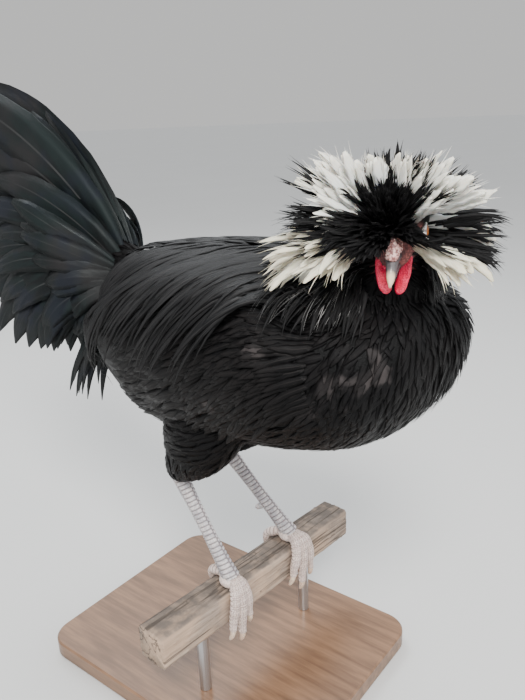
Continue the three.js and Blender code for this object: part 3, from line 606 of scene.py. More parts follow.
# Pores: close small bumps with darker pits between them.
def makePores():
    group, given, end = newGroup(
        "pores",
        [("Vector", "Vector", None), ("Scale", "Float", 900.0), ("Patch Scale", "Float", 160.0)],
        [("Height", "Float"), ("Pit", "Float"), ("Patch", "Float")],
    )
    cells = put(group, "ShaderNodeTexVoronoi", feature="F1", Vector=given["Vector"], Scale=given["Scale"])
    far = cells.outputs["Distance"]
    patch = remap(group, cloud(group, given["Vector"], given["Patch Scale"], 4.0), 0.35, 0.65)
    pit = remap(group, far, 0.35, 0.75)
    feedAll(group, end, {"Height": mathNode(group, "SUBTRACT", 1.0, far), "Pit": pit, "Patch": patch})
    return group


# Grain: long fibres along one axis, with dark checks.
def makeGrain():
    group, given, end = newGroup(
        "grain",
        [("Vector", "Vector", None), ("Fibres", "Float", 260.0), ("Length", "Float", 0.06),
         ("Checks", "Float", 0.6)],
        [("Fibre", "Float"), ("Check", "Float"), ("Patch", "Float"), ("Height", "Float")],
    )
    scales = put(group, "ShaderNodeCombineXYZ", X=1.0, Y=given["Length"], Z=1.0).outputs[0]
    stretched = vectorNode(group, "MULTIPLY", given["Vector"], scales)["Vector"]
    fibre = remap(group, cloud(group, stretched, given["Fibres"], 6.0, Roughness=0.65), 0.3, 0.7)
    checks = mathNode(group, "SUBTRACT", cloud(group, stretched, 90.0, 3.0, Roughness=0.5), 0.5)
    ridge = mathNode(group, "ABSOLUTE", checks)
    check = times(group, remap(group, ridge, 0.0, 0.035, 1.0, 0.0), given["Checks"])
    patch = remap(group, cloud(group, given["Vector"], 28.0, 5.0), 0.38, 0.62)
    height = mathNode(group, "SUBTRACT", times(group, fibre, 0.4), check)
    feedAll(group, end, {"Fibre": fibre, "Check": check, "Patch": patch, "Height": height})
    return group


# A soft patch round a place, its edge broken by noise.
def makeSoftPatch():
    group, given, end = newGroup(
        "softPatch",
        [("Vector", "Vector", None), ("Place", "Vector", None), ("Size", "Float", 0.02),
         ("Ragged", "Float", 0.012)],
        [("Mask", "Float")],
    )
    away = vectorNode(group, "DISTANCE", given["Vector"], given["Place"])["Value"]
    broken = mathNode(group, "SUBTRACT", cloud(group, given["Vector"], 75.0, 3.0), 0.5)
    offset = times(group, times(group, broken, given["Ragged"]), 3.0)
    share = mathNode(group, "DIVIDE", mathNode(group, "ADD", away, offset), given["Size"])
    feedAll(group, end, {"Mask": remap(group, share, 0.45, 1.0, 1.0, 0.0)})
    return group


vaneMarks, pores, grain, softPatch = makeVaneMarks(), makePores(), makeGrain(), makeSoftPatch()


def groupNode(tree, group, **values):
    node = tree.nodes.new("ShaderNodeGroup")
    node.node_tree = group
    feedAll(tree, node, values)
    return node.outputs


def bumpFrom(tree, shader, height, distance, strength):
    bump = put(tree, "ShaderNodeBump", Strength=strength, Distance=distance, Height=height)
    feed(tree, shader.inputs["Normal"], bump.outputs[0])


# A plumage: the vane marks, then broad patches of another tone, then patches of a second tone of painted
# sheen where the look has one, then paler brown-grey feathers round a few places.
def plumage(name, look):
    material, tree, shader, place = newMaterial(name)
    vane = put(tree, "ShaderNodeUVMap", uv_map="vane").outputs[0]
    lot = put(tree, "ShaderNodeUVMap", uv_map="lot").outputs[0]
    marks = groupNode(tree, vaneMarks, Vane=vane, Lot=lot, **look["marks"])
    patch = cloud(tree, place, look.get("patchScale", 22.0), 3.0)
    where = remap(tree, patch, 0.45, 0.7, 0.0, look["patchAmount"])
    color = mixColor(tree, where, marks["Color"], look["patch"])
    # the second tone is painted sheen in patches
    if "second" in look:
        other = cloud(tree, place, 31.0, 2.0, noise_dimensions="4D", W=4.0)
        color = mixColor(tree, remap(tree, other, 0.5, 0.68, 0.0, 0.7), color, look["second"])
    byFeather = put(tree, "ShaderNodeSeparateXYZ", Vector=lot).outputs["X"]
    paleSpotShare = remap(tree, byFeather, 0.35, 0.85, 0.12, 0.72)
    # paler brown-grey feathers round the given spots, on some feathers chosen by their lot
    for spot, size in look.get("paleSpots", []):
        soft = groupNode(tree, softPatch, Vector=place, Place=tuple(toWorld(spot)), Size=size)["Mask"]
        color = mixColor(tree, times(tree, soft, paleSpotShare), color, look["paleSpotColor"])
    feedAll(tree, shader, {"Base Color": color, "Roughness": marks["Roughness"], **look["shader"]})
    bumpFrom(tree, shader, marks["Height"], 0.00008, 0.35)
    return material


# Each look's Sheen Color is painted sheen: paler streaks and paler whole feathers where light would catch the
# vanes.
looks = {
    "black": {
        "marks": {
            "Base": (0.0026, 0.0026, 0.003), "Sheen Color": (0.0085, 0.008, 0.0083),
            "Tip": (0.011, 0.0098, 0.0098), "Shaft": (0.009, 0.0088, 0.009), "Barbs": 26.0,
            "Sheen Amount": 0.5, "Tip Wear": 0.25,
        },
        "patch": (0.009, 0.0075, 0.0074), "patchAmount": 0.4,
        "paleSpots": [
            ((108, -88, 192), 0.013), ((115, -88, 197), 0.014), ((122, -87, 203), 0.015),
            ((128, -86, 208), 0.016), ((134, -84, 213), 0.016), ((141, -79, 214), 0.013),
            ((149, -70, 220), 0.012), ((154, -64, 222), 0.011), ((152, -65, 233), 0.009),
        ],
        "paleSpotColor": (0.046, 0.04, 0.0395),
        "shader": {"Specular IOR Level": 0.07},
    },
    "hackle": {
        # pale Sheen Color and Shaft: painted highlight streaks on the glossy hackle and saddle
        "marks": {
            "Base": (0.0026, 0.0026, 0.003), "Sheen Color": (0.026, 0.0255, 0.026),
            "Tip": (0.014, 0.0135, 0.0135), "Shaft": (0.03, 0.0295, 0.029), "Barbs": 40.0,
            "Sheen Amount": 0.45, "Tip Wear": 0.3, "Shaft Width": 0.06,
        },
        "patch": (0.008, 0.0075, 0.0077), "patchAmount": 0.4,
        "shader": {"Specular IOR Level": 0.1},
    },
    # thin strands painted pale grey: painted glints of light on the black hackle
    "fine": {
        "marks": {
            "Base": (0.06, 0.06, 0.061), "Sheen Color": (0.34, 0.335, 0.33), "Tip": (0.3, 0.29, 0.28),
            "Shaft": (0.4, 0.39, 0.38), "Barbs": 12.0, "Sheen Amount": 0.9, "Tip Wear": 0.4, "Shaft Width": 0.2,
        },
        "patch": (0.02, 0.02, 0.02), "patchAmount": 0.7, "patchScale": 45.0,
        "shader": {"Specular IOR Level": 0.5},
    },
    "wing": {
        "marks": {
            "Base": (0.0026, 0.0025, 0.0028), "Sheen Color": (0.01, 0.0088, 0.0088),
            "Tip": (0.017, 0.0145, 0.014), "Shaft": (0.016, 0.014, 0.0135), "Barbs": 30.0,
            "Sheen Amount": 0.35, "Tip Wear": 0.25,
        },
        "patch": (0.011, 0.009, 0.0088), "patchAmount": 0.35, "patchScale": 30.0,
        "paleSpots": [((82, -94, 234), 0.008), ((84, -94, 244), 0.007), ((40, -94, 190), 0.009)],
        "paleSpotColor": (0.044, 0.038, 0.0375),
        "shader": {"Specular IOR Level": 0.09},
    },
    "tail": {
        # the teal Sheen Color and the purple-blue second tone are painted iridescent sheen
        "marks": {
            "Base": (0.0024, 0.0027, 0.003), "Sheen Color": (0.0065, 0.0125, 0.0122),
            "Tip": (0.0026, 0.0026, 0.0028), "Shaft": (0.04, 0.04, 0.04), "Barbs": 90.0, "Sheen Amount": 0.6,
            "Tip Wear": 0.6, "Shaft Width": 0.02,
        },
        "patch": (0.014, 0.012, 0.0125), "patchAmount": 0.85, "patchScale": 14.0,
        "second": (0.006, 0.007, 0.013),
        "shader": {"Specular IOR Level": 0.2, "Specular Tint": (0.88, 0.98, 0.98)},
    },
    "cream": {
        "marks": {
            "Base": (0.62, 0.56, 0.43), "Sheen Color": (0.84, 0.79, 0.66), "Tip": (0.78, 0.68, 0.48),
            "Shaft": (0.86, 0.8, 0.66), "Barbs": 30.0, "Sheen Amount": 0.7, "Tip Wear": 0.45,
        },
        "patch": (0.5, 0.43, 0.31), "patchAmount": 0.4, "patchScale": 60.0,
        "shader": {"Specular IOR Level": 0.3, "Subsurface Weight": 0.1, "Subsurface Scale": 0.002},
    },
    "white": {
        "marks": {
            "Base": (0.74, 0.72, 0.67), "Sheen Color": (0.93, 0.93, 0.91), "Tip": (0.82, 0.74, 0.56),
            "Shaft": (0.9, 0.88, 0.82), "Barbs": 30.0, "Sheen Amount": 0.7, "Tip Wear": 0.45,
        },
        "patch": (0.62, 0.56, 0.44), "patchAmount": 0.35,
        "shader": {"Specular IOR Level": 0.3, "Subsurface Weight": 0.1, "Subsurface Scale": 0.002},
    },
}
plumages = {word: plumage(word + "_plumage", look) for word, look in looks.items()}
print("plumage materials")


# The body coat: contour feathers laid on the skin along the lie of the coat.
bodyCoat = {
    "spacing": {"breast": 3.8, "flank": 4.7, "belly": 5.2, "thigh": 4.2, "neck": 3.4},
    "length": {"breast": 24, "flank": 28, "belly": 31, "thigh": 21, "neck": 18},
    "halfWidth": {"breast": 3.3, "flank": 3.6, "belly": 3.9, "thigh": 2.8, "neck": 2.0},
    "rings": 6,
    "samples": 110000,
    "pieces": {
        "coat_breast": ("breast", "neck"), "coat_flank": ("flank",), "coat_belly": ("belly", "thigh"),
    },
}


# Places spread at random over the skin.
def skinSamples(count):
    mesh = skin.data
    mesh.calc_loop_triangles()
    corners = np.empty(len(mesh.loop_triangles) * 3, dtype=np.int32)
    mesh.loop_triangles.foreach_get("vertices", corners)
    points = pointsOf(skin)
    a, b, c = (points[corners.reshape(-1, 3)[:, k]] for k in range(3))
    area = np.linalg.norm(np.cross(b - a, c - a), axis=1)
    chosen = draw.choice(len(area), count, p=area / area.sum())
    u, v = draw.random(count), draw.random(count)
    u, v = np.where(u + v > 1, 1 - u, u), np.where(u + v > 1, 1 - v, v)
    return a[chosen] + (b - a)[chosen] * u[:, None] + (c - a)[chosen] * v[:, None]


# The indices of points that keep their spacing from those kept before.
def thinned(points, spacing):
    cells, kept = {}, []
    size = spacing.max()
    for index in range(len(points)):
        p, gap = points[index], spacing[index]
        key = tuple((p // size).astype(int))
        near = [
            other
            for dx in (-1, 0, 1) for dy in (-1, 0, 1) for dz in (-1, 0, 1)
            for other in cells.get((key[0] + dx, key[1] + dy, key[2] + dz), ())
        ]
        if all(np.sum((points[other] - p) ** 2) > gap * gap for other in near):
            cells.setdefault(key, []).append(index)
            kept.append(index)
    return np.array(kept)


neckLine = neckPath(np.linspace(0, 1, 41))


def nearestOn(line, points):
    gaps = np.linalg.norm(points[:, None] - line[None], axis=2)
    return gaps.argmin(1), gaps.min(1)


# Which part of the body a place belongs to.
def regionsOf(points):
    x, z = points[:, 0], points[:, 2]
    region = np.full(len(points), "flank", dtype=object)
    angle = np.degrees(np.abs(torsoAngle(points)))
    region[x > 78] = "breast"
    region[(angle > 128) & (x <= 78)] = "belly"
    for word, side in bothSides:
        far = nearestOn(thighPath(legs[word])(np.linspace(0, 1, 21)), points)[1]
        below = z < 206 - torsoSizes(x)[3] * 0.98 + 4
        region[(far < 44) & (below | (z < 116)) & (x < 60)] = "thigh"
    step, far = nearestOn(neckLine, points)
    region[(step > 10) & (far < 46) & (z > 262)] = "neck"
    region[np.linalg.norm(fromHead(points) - head["middle"], axis=1) < 31] = "head"
    region[(x < -122) & (z > 236)] = "tail"
    return region


# The way the feathers lie at a place.
def flowAt(points, region):
    x, z = points[:, 0], points[:, 2]
    flow = np.zeros_like(points)
    flow[:, 0] = -1
    flow[:, 2] = -0.25
    front = ramp(x, 70, 150)
    flow[:, 0] = mix(flow[:, 0], -0.45, front)
    flow[:, 2] = mix(flow[:, 2], -0.9, front)
    rear = ramp(-x, 92, 124)
    flow[:, 2] = mix(flow[:, 2], np.where(z > 222, 0.5, -0.35), rear)
    flow[region == "belly"] = (-1, 0, -0.12)
    flow[region == "thigh"] = (-0.42, 0, -0.9)
    onNeck = region == "neck"
    if onNeck.any():
        outward = points[onNeck] - neckLine[nearestOn(neckLine, points[onNeck])[0]]
        flow[onNeck] = unit(outward) * 0.3 + np.array([-0.15, 0.02, -0.95])
    return unit(flow + 0.2 * draw.normal(size=flow.shape))


# The breast stands out a little more on the bird's left.
def breastLift(p):
    return 5.0 * float(ramp(p[0], 70, 140) * ramp(p[1], -12, 34) * ramp(p[2], 165, 200))


# Paths that follow the skin from their sunk roots to their raised tips, and the skin's normals on the way.
def layOnSkin(starts, flow, lengths, rings, sink=-1.0, rise=1.6):
    count = len(starts)
    path, face = np.zeros((count, rings, 3)), np.zeros((count, rings, 3))
    for f in range(count):
        p, heading = starts[f].copy(), flow[f]
        step = lengths[f] / (rings - 1)
        lift = rise * (0.75 + 0.5 * draw.random()) + breastLift(p)
        for k in range(rings):
            spot, normal = onSkin(p)
            t = k / (rings - 1)
            path[f, k] = spot + normal * (sink + (lift - sink) * t ** 0.8)
            face[f, k] = normal
            heading = unit(heading - normal * (heading @ normal))
            p = spot + heading * step
    return path, face


# A place's patch on an unwrap of the body: its length along x, its width round it.
def unwrapAt(x, angle):
    return np.stack([(np.asarray(x) + 130) / 300, (np.asarray(angle) + math.pi) / (2 * math.pi)], -1)


def bodyLays():
    places = skinSamples(bodyCoat["samples"])
    region = regionsOf(places)
    underWing = (wingCover(places[:, 0], torsoAngle(places)) > 0.93) & (region == "flank")
    usable = (region != "head") & (region != "tail") & ~underWing
    places, region = places[usable], region[usable]
    kept = thinned(places, np.array([bodyCoat["spacing"][r] for r in region]))
    places, region = places[kept], region[kept]
    flow = flowAt(places, region)
    lengths, widths = (
        np.array([bodyCoat[size][r] for r in region]) * (0.85 + 0.3 * draw.random(len(region)))
        for size in ("length", "halfWidth")
    )
    path, face = layOnSkin(places, flow, lengths, bodyCoat["rings"])
    unwrapped, lot = unwrapAt(places[:, 0], torsoAngle(places)), lots(len(places))
    for name, wanted in bodyCoat["pieces"].items():
        pick = np.isin(region, wanted)
        plan = (path[pick], face[pick], widths[pick], "silk", unwrapped[pick], lot[pick])
        coatPiece(name, [newLay(*plan, thick=0.16, crown=0.05, fray=0.4)], "black", "plumage")


bodyLays()


# The saddle: long narrow feathers from the back over the flanks.
saddle = {
    "rows": range(-88, 93, 9),
    "angles": range(2, 47, 4),
    "sweep": 44,
    "reach": 80,
    "ridge": 130,
    "halfWidth": 2.5,
    "rings": 11,
}


def saddleLay(settings):
    paths, faces, places, halves = [], [], [], []
    t = np.linspace(0, 1, settings["rings"])
    for side in (-1, 1):
        for x in settings["rows"]:
            for angle in settings["angles"]:
                rootX = x + 10 * (draw.random() - 0.5)
                rootAngle = math.radians(angle + 6 * (draw.random() - 0.5))
                rear = float(ramp(-x, 10, 88))
                sweep = math.radians(settings["sweep"] * (0.8 + 0.4 * draw.random()) * mix(1, 1.9, rear))
                reach = settings["reach"] * (0.75 + 0.4 * draw.random()) * mix(1, 0.7, rear)
                rise = 0.5 + 3.4 * draw.random() * float(ramp(angle, 0, 20))
                alongX = rootX - reach * (t - 0.14 * t * t)
                turn = side * (rootAngle + sweep * t**1.3)
                over = mix(-2.5, 2.2, ramp(t, 0, 0.25)) + (wing["bulge"] + 3) * wingCover(alongX, turn)
                paths.append(onTorso(alongX, turn, over + rise * t))
                faces.append(outwardAt(turn))
                places.append(unwrapAt(rootX, side * rootAngle))
                halves.append(settings["halfWidth"] * (0.75 + 0.5 * draw.random()))
    # feathers along the ridge close the parting
    for i in range(settings["ridge"]):
        rootX = mix(100, -84, (i + draw.random()) / settings["ridge"])
        rootAngle = math.radians(4 * draw.normal())
        alongX = rootX - 44 * t
        turn = rootAngle + math.radians(7 * draw.normal()) * t
        over = mix(-1.5, 2.6, ramp(t, 0, 0.3)) + (0.4 + 0.9 * draw.random()) * t
        paths.append(onTorso(alongX, turn, over))
        faces.append(outwardAt(turn))
        places.append(unwrapAt(rootX, rootAngle))
        halves.append(settings["halfWidth"] * 1.2)
    return newLay(paths, faces, halves, "lance", places, lots(len(paths)), thick=0.22, crown=0.16, fray=0.3)


coatPiece("coat_saddle", [saddleLay(saddle)], "hackle", "plumage", ["torso"])


# The wings: coverts in rows over the folded flights.
wingCoat = {
    "coverts": [
        {"from": -0.04, "to": 0.32, "rows": 16, "across": 21, "span": 0.13, "half": 3.6},
        {"from": 0.34, "to": 0.56, "rows": 6, "across": 15, "span": 0.2, "half": 5.6},
    ],
    "flights": 14,
    "flightHalf": 9.5,
    "primaries": 7,
    "primaryHalf": 7,
    "rings": {"covert": 8, "flight": 14},
}


def wingLays(side):
    paths, faces, halves, places = [], [], [], []

    def addFeather(start, end, lifts, half, rings):
        t = np.linspace(0, 1, rings)
        s, across = mix(start[0], end[0], t), mix(start[1], end[1], t)
        paths.append(wingPoint(s, across, side, mix(*lifts, t)))
        faces.append(outwardAt(side * wingAngle(s, across)))
        halves.append(half)
        places.append((start[0], 0.5 + side * 0.45 * start[1]))

    for tier in wingCoat["coverts"]:
        for row in range(tier["rows"]):
            for column in range(tier["across"]):
                s = mix(tier["from"], tier["to"], row / (tier["rows"] - 1)) + 0.012 * draw.normal()
                across = (column + 0.5 * (row % 2) + 0.3) / tier["across"] + 0.015 * draw.normal()
                span = tier["span"] * (0.85 + 0.3 * draw.random())
                drop = 0.06 * (0.5 - across) + 0.17 + 0.05 * draw.normal()
                lifts = (-2.6, 1.5 + 1.2 * draw.random())
                end = (s + span, across + drop)
                addFeather((s, across), end, lifts, tier["half"], wingCoat["rings"]["covert"])
    plan = (paths, faces, halves, "silk", places, lots(len(paths)))
    covertLay = newLay(*plan, thick=0.16, crown=0.05, fray=0.35)
    paths, faces, halves, places = [], [], [], []
    rings = wingCoat["rings"]["flight"]
    for i in range(wingCoat["flights"]):
        row = i / (wingCoat["flights"] - 1)
        start, end = (0.46 + 0.05 * (1 - row), 0.06 + 0.86 * row), (1.05 - 0.2 * row, 0.14 + 0.82 * row)
        addFeather(start, end, (-2.4, 2.4 - 2.2 * row), wingCoat["flightHalf"], rings)
    for i in range(wingCoat["primaries"]):
        row = i / (wingCoat["primaries"] - 1)
        start, end = (0.5, 0.6 + 0.36 * row), (1.04 - 0.1 * row, 0.5 + 0.42 * row)
        addFeather(start, end, (-4.2, -0.6), wingCoat["primaryHalf"], rings)
    flightLay = newLay(paths, faces, halves, "flight", places, lots(len(paths)), crown=0.08, fray=0.08)
    return [covertLay, flightLay]


for word, side in bothSides:
    coatPiece("coat_wing_" + word, wingLays(side), "wing", "plumage", ["wing_" + word])


# The neck: the hackle, long glossy feathers in tiers, with thin strands between them, painted pale grey as
# glints of light.
hackle = {
    "feathers": 1500,
    "lengths": (20, 42),
    "halfWidth": 1.8,
    "fine": 620,
    "rings": 9,
}


# Moves points that lie inside the torso out to a margin from it.
def clearOfTorso(points, margin):
    centre, halfWidth, upper, lower = torsoSizes(points[:, 0])
    beyond = np.maximum(0, points[:, 0] - 166)
    half = np.where(points[:, 2] > centre, upper, lower) + margin
    aside, above = points[:, 1] / (halfWidth + margin), (points[:, 2] - centre) / half
    reach = np.sqrt(aside**2 + above**2 + (beyond / margin) ** 2)
    scale = np.where(reach < 1, 1 / np.maximum(reach, 0.2), 1)
    moved = points.copy()
    moved[:, 1] *= scale
    moved[:, 2] = centre + (points[:, 2] - centre) * scale
    return moved


def hacklePath(height, turn, length, margin, t):
    centre = neckPath(np.array([height]))[0]
    radius = mix(neck["bottom"] - 2, neck["top"], height)
    out = np.array([math.cos(turn), math.sin(turn), 0])
    start = centre + out * (radius - 6)
    forward = math.cos(turn)
    fall = mix(0.62, 0.95, forward) if forward > 0 else mix(0.62, 0.35, -forward)
    path = start + out * (length * (0.72 * t - 0.18 * t * t))[:, None]
    path[:, 2] += 8 * t - length * fall * t * t
    centreZ = torsoSizes(path[:, 0])[0]
    over = (wing["bulge"] + 3) * wingCover(path[:, 0], np.arctan2(np.abs(path[:, 1]), path[:, 2] - centreZ))
    cleared = np.array([clearOfTorso(p[None], 1 + margin + float(o))[0] for p, o in zip(path, over)])
    path = np.where(t[:, None] < 0.2, path, cleared)
    face = unit(out) * mix(0.75, 1, t)[:, None] + np.array([0, 0, 1]) * mix(0.9, 0.55, t)[:, None]
    return path, face


# Nothing hangs in front of the bill and the wattles.
def crossesFace(path):
    local = fromHead(path)
    return bool(np.any((local[:, 0] > 9) & (np.abs(local[:, 1]) < 15) & (local[:, 2] > -34)))


# Feathers keep these radii clear round the left eye, bill and wattles, seen from in front and above.
clearPlaces = [
    ([5.5, 16.6, 5], 6.5), ([27, 0, 5], 2), ([34, 0, -2], 2), ([40, 0, -7], 2),
    ([24, 7, -10], 2), ([27, 4, -20], 2), ([24, -7, -10], 2), ([27, -4, -20], 2),
]
sight = unit(np.array([0.72, 0.26, 0.64]))


def hidesFace(path, margin=3.0):
    fine, steps = np.linspace(0, len(path) - 1, 3 * len(path) - 2), np.arange(len(path))
    local = fromHead(np.stack([np.interp(fine, steps, path[:, k]) for k in range(3)], -1))
    for spot, radius in clearPlaces:
        rel = local - np.array(spot)
        ahead = rel @ sight
        beside = np.linalg.norm(rel - ahead[:, None] * sight, axis=1)
        if np.any((ahead > 0.5) & (beside < radius + margin)):
            return True
    return False


def hackleLay(settings, total, outline, thin):
    paths, faces, halves, places = [], [], [], []
    t = np.linspace(0, 1, settings["rings"])
    for i in range(total):
        height = 0.26 + 0.72 * (i + draw.random()) / total
        turn = 2 * math.pi * draw.random()
        reach = mix(1.12, 0.78, float(ramp(math.cos(turn), -0.3, 0.5)))
        length = mix(*settings["lengths"], height) * (0.8 + 0.35 * draw.random()) * reach
        margin = mix(0.5, 9, height) + 2.2 * draw.random()
        path, face = hacklePath(height, turn, length, margin, t)
        aside = np.array([-math.sin(turn), math.cos(turn), 0])
        path = path + aside * (0.16 * draw.normal() * length * t * t)[:, None]
        if crossesFace(path) or hidesFace(path):
            continue
        paths.append(path)
        faces.append(face)
        halves.append(settings["halfWidth"] * thin * (0.75 + 0.5 * draw.random()))
        places.append((height, turn / (2 * math.pi)))
    return newLay(paths, faces, halves, outline, places, lots(len(paths)), thick=0.22, crown=0.12, fray=0.3)


cape = hackleLay(hackle, hackle["feathers"], "lance", 1)
coatPiece("coat_hackle", [cape], "hackle", "plumage", ["neck"])
# the thin strands are painted pale grey as glints of light among the black hackle
glintStrands = hackleLay(hackle, hackle["fine"], "strand", 0.17)
coatPiece("coat_hackle_glint_strands", [glintStrands], "fine", "plumage")


# The face: short black feathers round the bill, leaving the eyes clear.
faceCoat = {
    "samples": 84000, "spacing": 1.9, "length": 12, "halfWidth": 1.1, "rings": 7,
    "forelock": 260, "lockHalf": 1.7, "lockRings": 9,
}


def faceLay(settings):
    places = skinSamples(settings["samples"])
    local = fromHead(places)
    near = np.linalg.norm(local - head["middle"], axis=1) < 33
    eyes = np.array([head["eyePlace"] * (1, side, 1) for side in (-1, 1)])
    toEye = np.min([np.linalg.norm(local - eye, axis=1) for eye in eyes], axis=0)
    bare = np.linalg.norm(local - np.array([24, 0, 2]), axis=1) < 10.5
    gape = (local[:, 0] > 13) & (np.abs(local[:, 1]) < 8.5) & (local[:, 2] < 0) & (local[:, 2] > -14)
    keep = near & (toEye > np.where(local[:, 1] > 0, 9.5, 7.5)) & ~bare & ~gape
    places, local = places[keep], local[keep]
    kept = thinned(places, np.full(len(places), settings["spacing"]))
    places, local = places[kept], local[kept]
    radial = unit(local * np.array([0, 1, 1]) + np.array([0, 0, 1.5]))
    flow = unit(radial + np.array([-0.45, 0, -0.1]) + 0.15 * draw.normal(size=radial.shape)) @ headAxes
    lengths = settings["length"] * (0.7 + 0.6 * draw.random(len(places)))
    path, face = layOnSkin(places, flow, lengths, settings["rings"], sink=-0.6, rise=2.6)
    shown = np.array([not hidesFace(p, 0.6) for p in path])
    path, face, local, places = path[shown], face[shown], local[shown], places[shown]
    unwrapped = 0.5 + local[:, 1:] / 80
    halves = settings["halfWidth"] * (0.7 + 0.6 * draw.random(len(places)))
    plan = (path, face, halves, "strand", unwrapped, lots(len(places)))
    return newLay(*plan, thick=0.25, crown=0.2, fray=0.2)


# The forelock stands in front of the comb and parts to both sides.
def forelockLay(settings):
    paths, faces, places, halves = [], [], [], []
    t = np.linspace(0, 1, settings["lockRings"])
    for i in range(settings["forelock"]):
        across = 2 * draw.random() - 1
        start = inHead((12 + 7 * draw.random(), across * 10, 9 + 4 * draw.random() - 3 * abs(across)))
        way = np.array([0.8 - 0.5 * draw.random(), across * 0.8, 0.85])
        way = unit(way + 0.15 * draw.normal(size=3)) @ headAxes
        length = 13 + 11 * draw.random()
        path = start + way * (length * t)[:, None]
        path[:, 2] -= 0.25 * length * t * t
        if hidesFace(path, 2.0):
            continue
        paths.append(path)
        faces.append(np.broadcast_to(headForward * 0.6 + headUp, path.shape))
        places.append((0.5 + across * 0.2, 0.7 + 0.1 * draw.random()))
        halves.append(settings["lockHalf"] * (0.6 + 0.7 * draw.random()))
    return newLay(paths, faces, halves, "lance", places, lots(len(paths)), thick=0.3, crown=0.2, fray=0.3)


coatPiece("coat_face", [faceLay(faceCoat), forelockLay(faceCoat)], "black", "plumage")


# The crest: black round the face, white above and behind. Its hub is in the head's axes.
crest = {
    "hub": np.array([1.0, -5.0, 4.0]),
    "lean": math.radians(38),
    "radius": 15,
    "droop": [[0, 0.0], [20, 0.02], [40, 0.05], [60, 0.1], [80, 0.2], [100, 0.35], [140, 0.6]],
    # Locks that shape the crest from in front: tilt off its axis, turn round it, length.
    "white": [
        (58, -134, 46), (64, -112, 50), (58, -108, 47), (49, -97, 44), (46, -86, 43), (38, -136, 36),
        (35, -150, 32), (37, -124, 37), (31, -172, 33), (37, 172, 32), (31, 146, 34), (38, 132, 38),
        (43, 124, 42), (46, 112, 44), (55, 104, 48), (61, 100, 50), (47, 84, 44), (52, 92, 46),
        (56, -102, 48), (44, -110, 42), (50, -122, 46),
    ],
    "cream": [
        (82, -70, 70), (76, -72, 66), (88, -72, 62), (70, -66, 58), (70, -58, 58), (60, -43, 58),
        (55, -38, 56), (58, -56, 53), (64, -50, 57), (78, -64, 67), (92, -66, 60), (66, -78, 54),
        (64, 52, 52), (60, 51, 50), (66, 56, 54), (72, 54, 54), (52, 86, 44),
    ],
    "black": [
        (58, -104, 55), (61, -90, 55), (57, -82, 52), (60, -78, 52), (64, 92, 55), (61, 84, 55),
        (67, 80, 55), (67, 72, 54), (64, 66, 52), (60, 74, 48), (70, 64, 54), (74, 70, 54), (37, 148, 36),
        (40, 124, 39), (49, 116, 45), (45, 100, 40), (49, -32, 42), (43, -24, 44), (43, -16, 44),
        (46, -40, 42), (40, -8, 38), (52, -50, 44), (48, -58, 42), (54, -66, 44), (60, -62, 50),
        (66, -54, 52), (70, -76, 54), (44, 40, 34), (46, 48, 38), (52, 60, 42), (44, -64, 38),
        (46, -72, 38), (42, -46, 38), (50, -44, 46), (38, -30, 34), (36, -58, 32), (40, -84, 30),
        (38, -112, 28), (34, -156, 26), (34, 164, 26), (36, 96, 30), (40, 70, 34), (36, 50, 30),
        (50, 76, 42), (40, 110, 32), (54, 68, 46), (88, 84, 54), (93, 92, 54), (87, 74, 52), (97, 80, 50),
        (90, 101, 54), (86, 92, 50), (100, 94, 50),
    ],
    "each": {"white": 7, "cream": 3, "black": 9},
    "centre": 54,
    "fill": 120,
    "fillLengths": [[40, 34], [70, 46], [100, 50], [136, 44]],
    "halfWidth": {"black": 1.9, "white": 5.2, "cream": 4.0},
    "wisps": 2,
    "rings": 12,
}
lean = crest["lean"]
crestUp = headForward * math.sin(lean) + headUp * math.cos(lean)
crestAxes = np.array([headForward * math.cos(lean) - headUp * math.sin(lean), headLeft, crestUp])


# Every lock as [tilt, turn, length, shade, number of feathers].
def crestLocks(settings):
    locks = [(*lock, shade, count) for shade, count in settings["each"].items() for lock in settings[shade]]
    for i in range(settings["centre"]):
        tilt = 6 + 32 * draw.random() ** 0.7
        locks.append((tilt, 360 * draw.random() - 180, 12 + 0.4 * tilt, "black", 9))
    for i in range(settings["fill"]):
        tilt = 40 + 96 * draw.random()
        turn = 360 * draw.random() - 180
        if abs(turn) < mix(40, 96, float(ramp(tilt, 50, 120))):
            continue
        shade = "white" if abs(turn) > 66 and draw.random() < 0.55 else "black"
        shorter = mix(1, 0.7, float(ramp(abs(turn), 90, 150)))
        length = float(np.interp(tilt, *zip(*settings["fillLengths"]))) * shorter
        locks.append((tilt, turn, length, shade, 4 if shade == "white" else 7))
    return locks


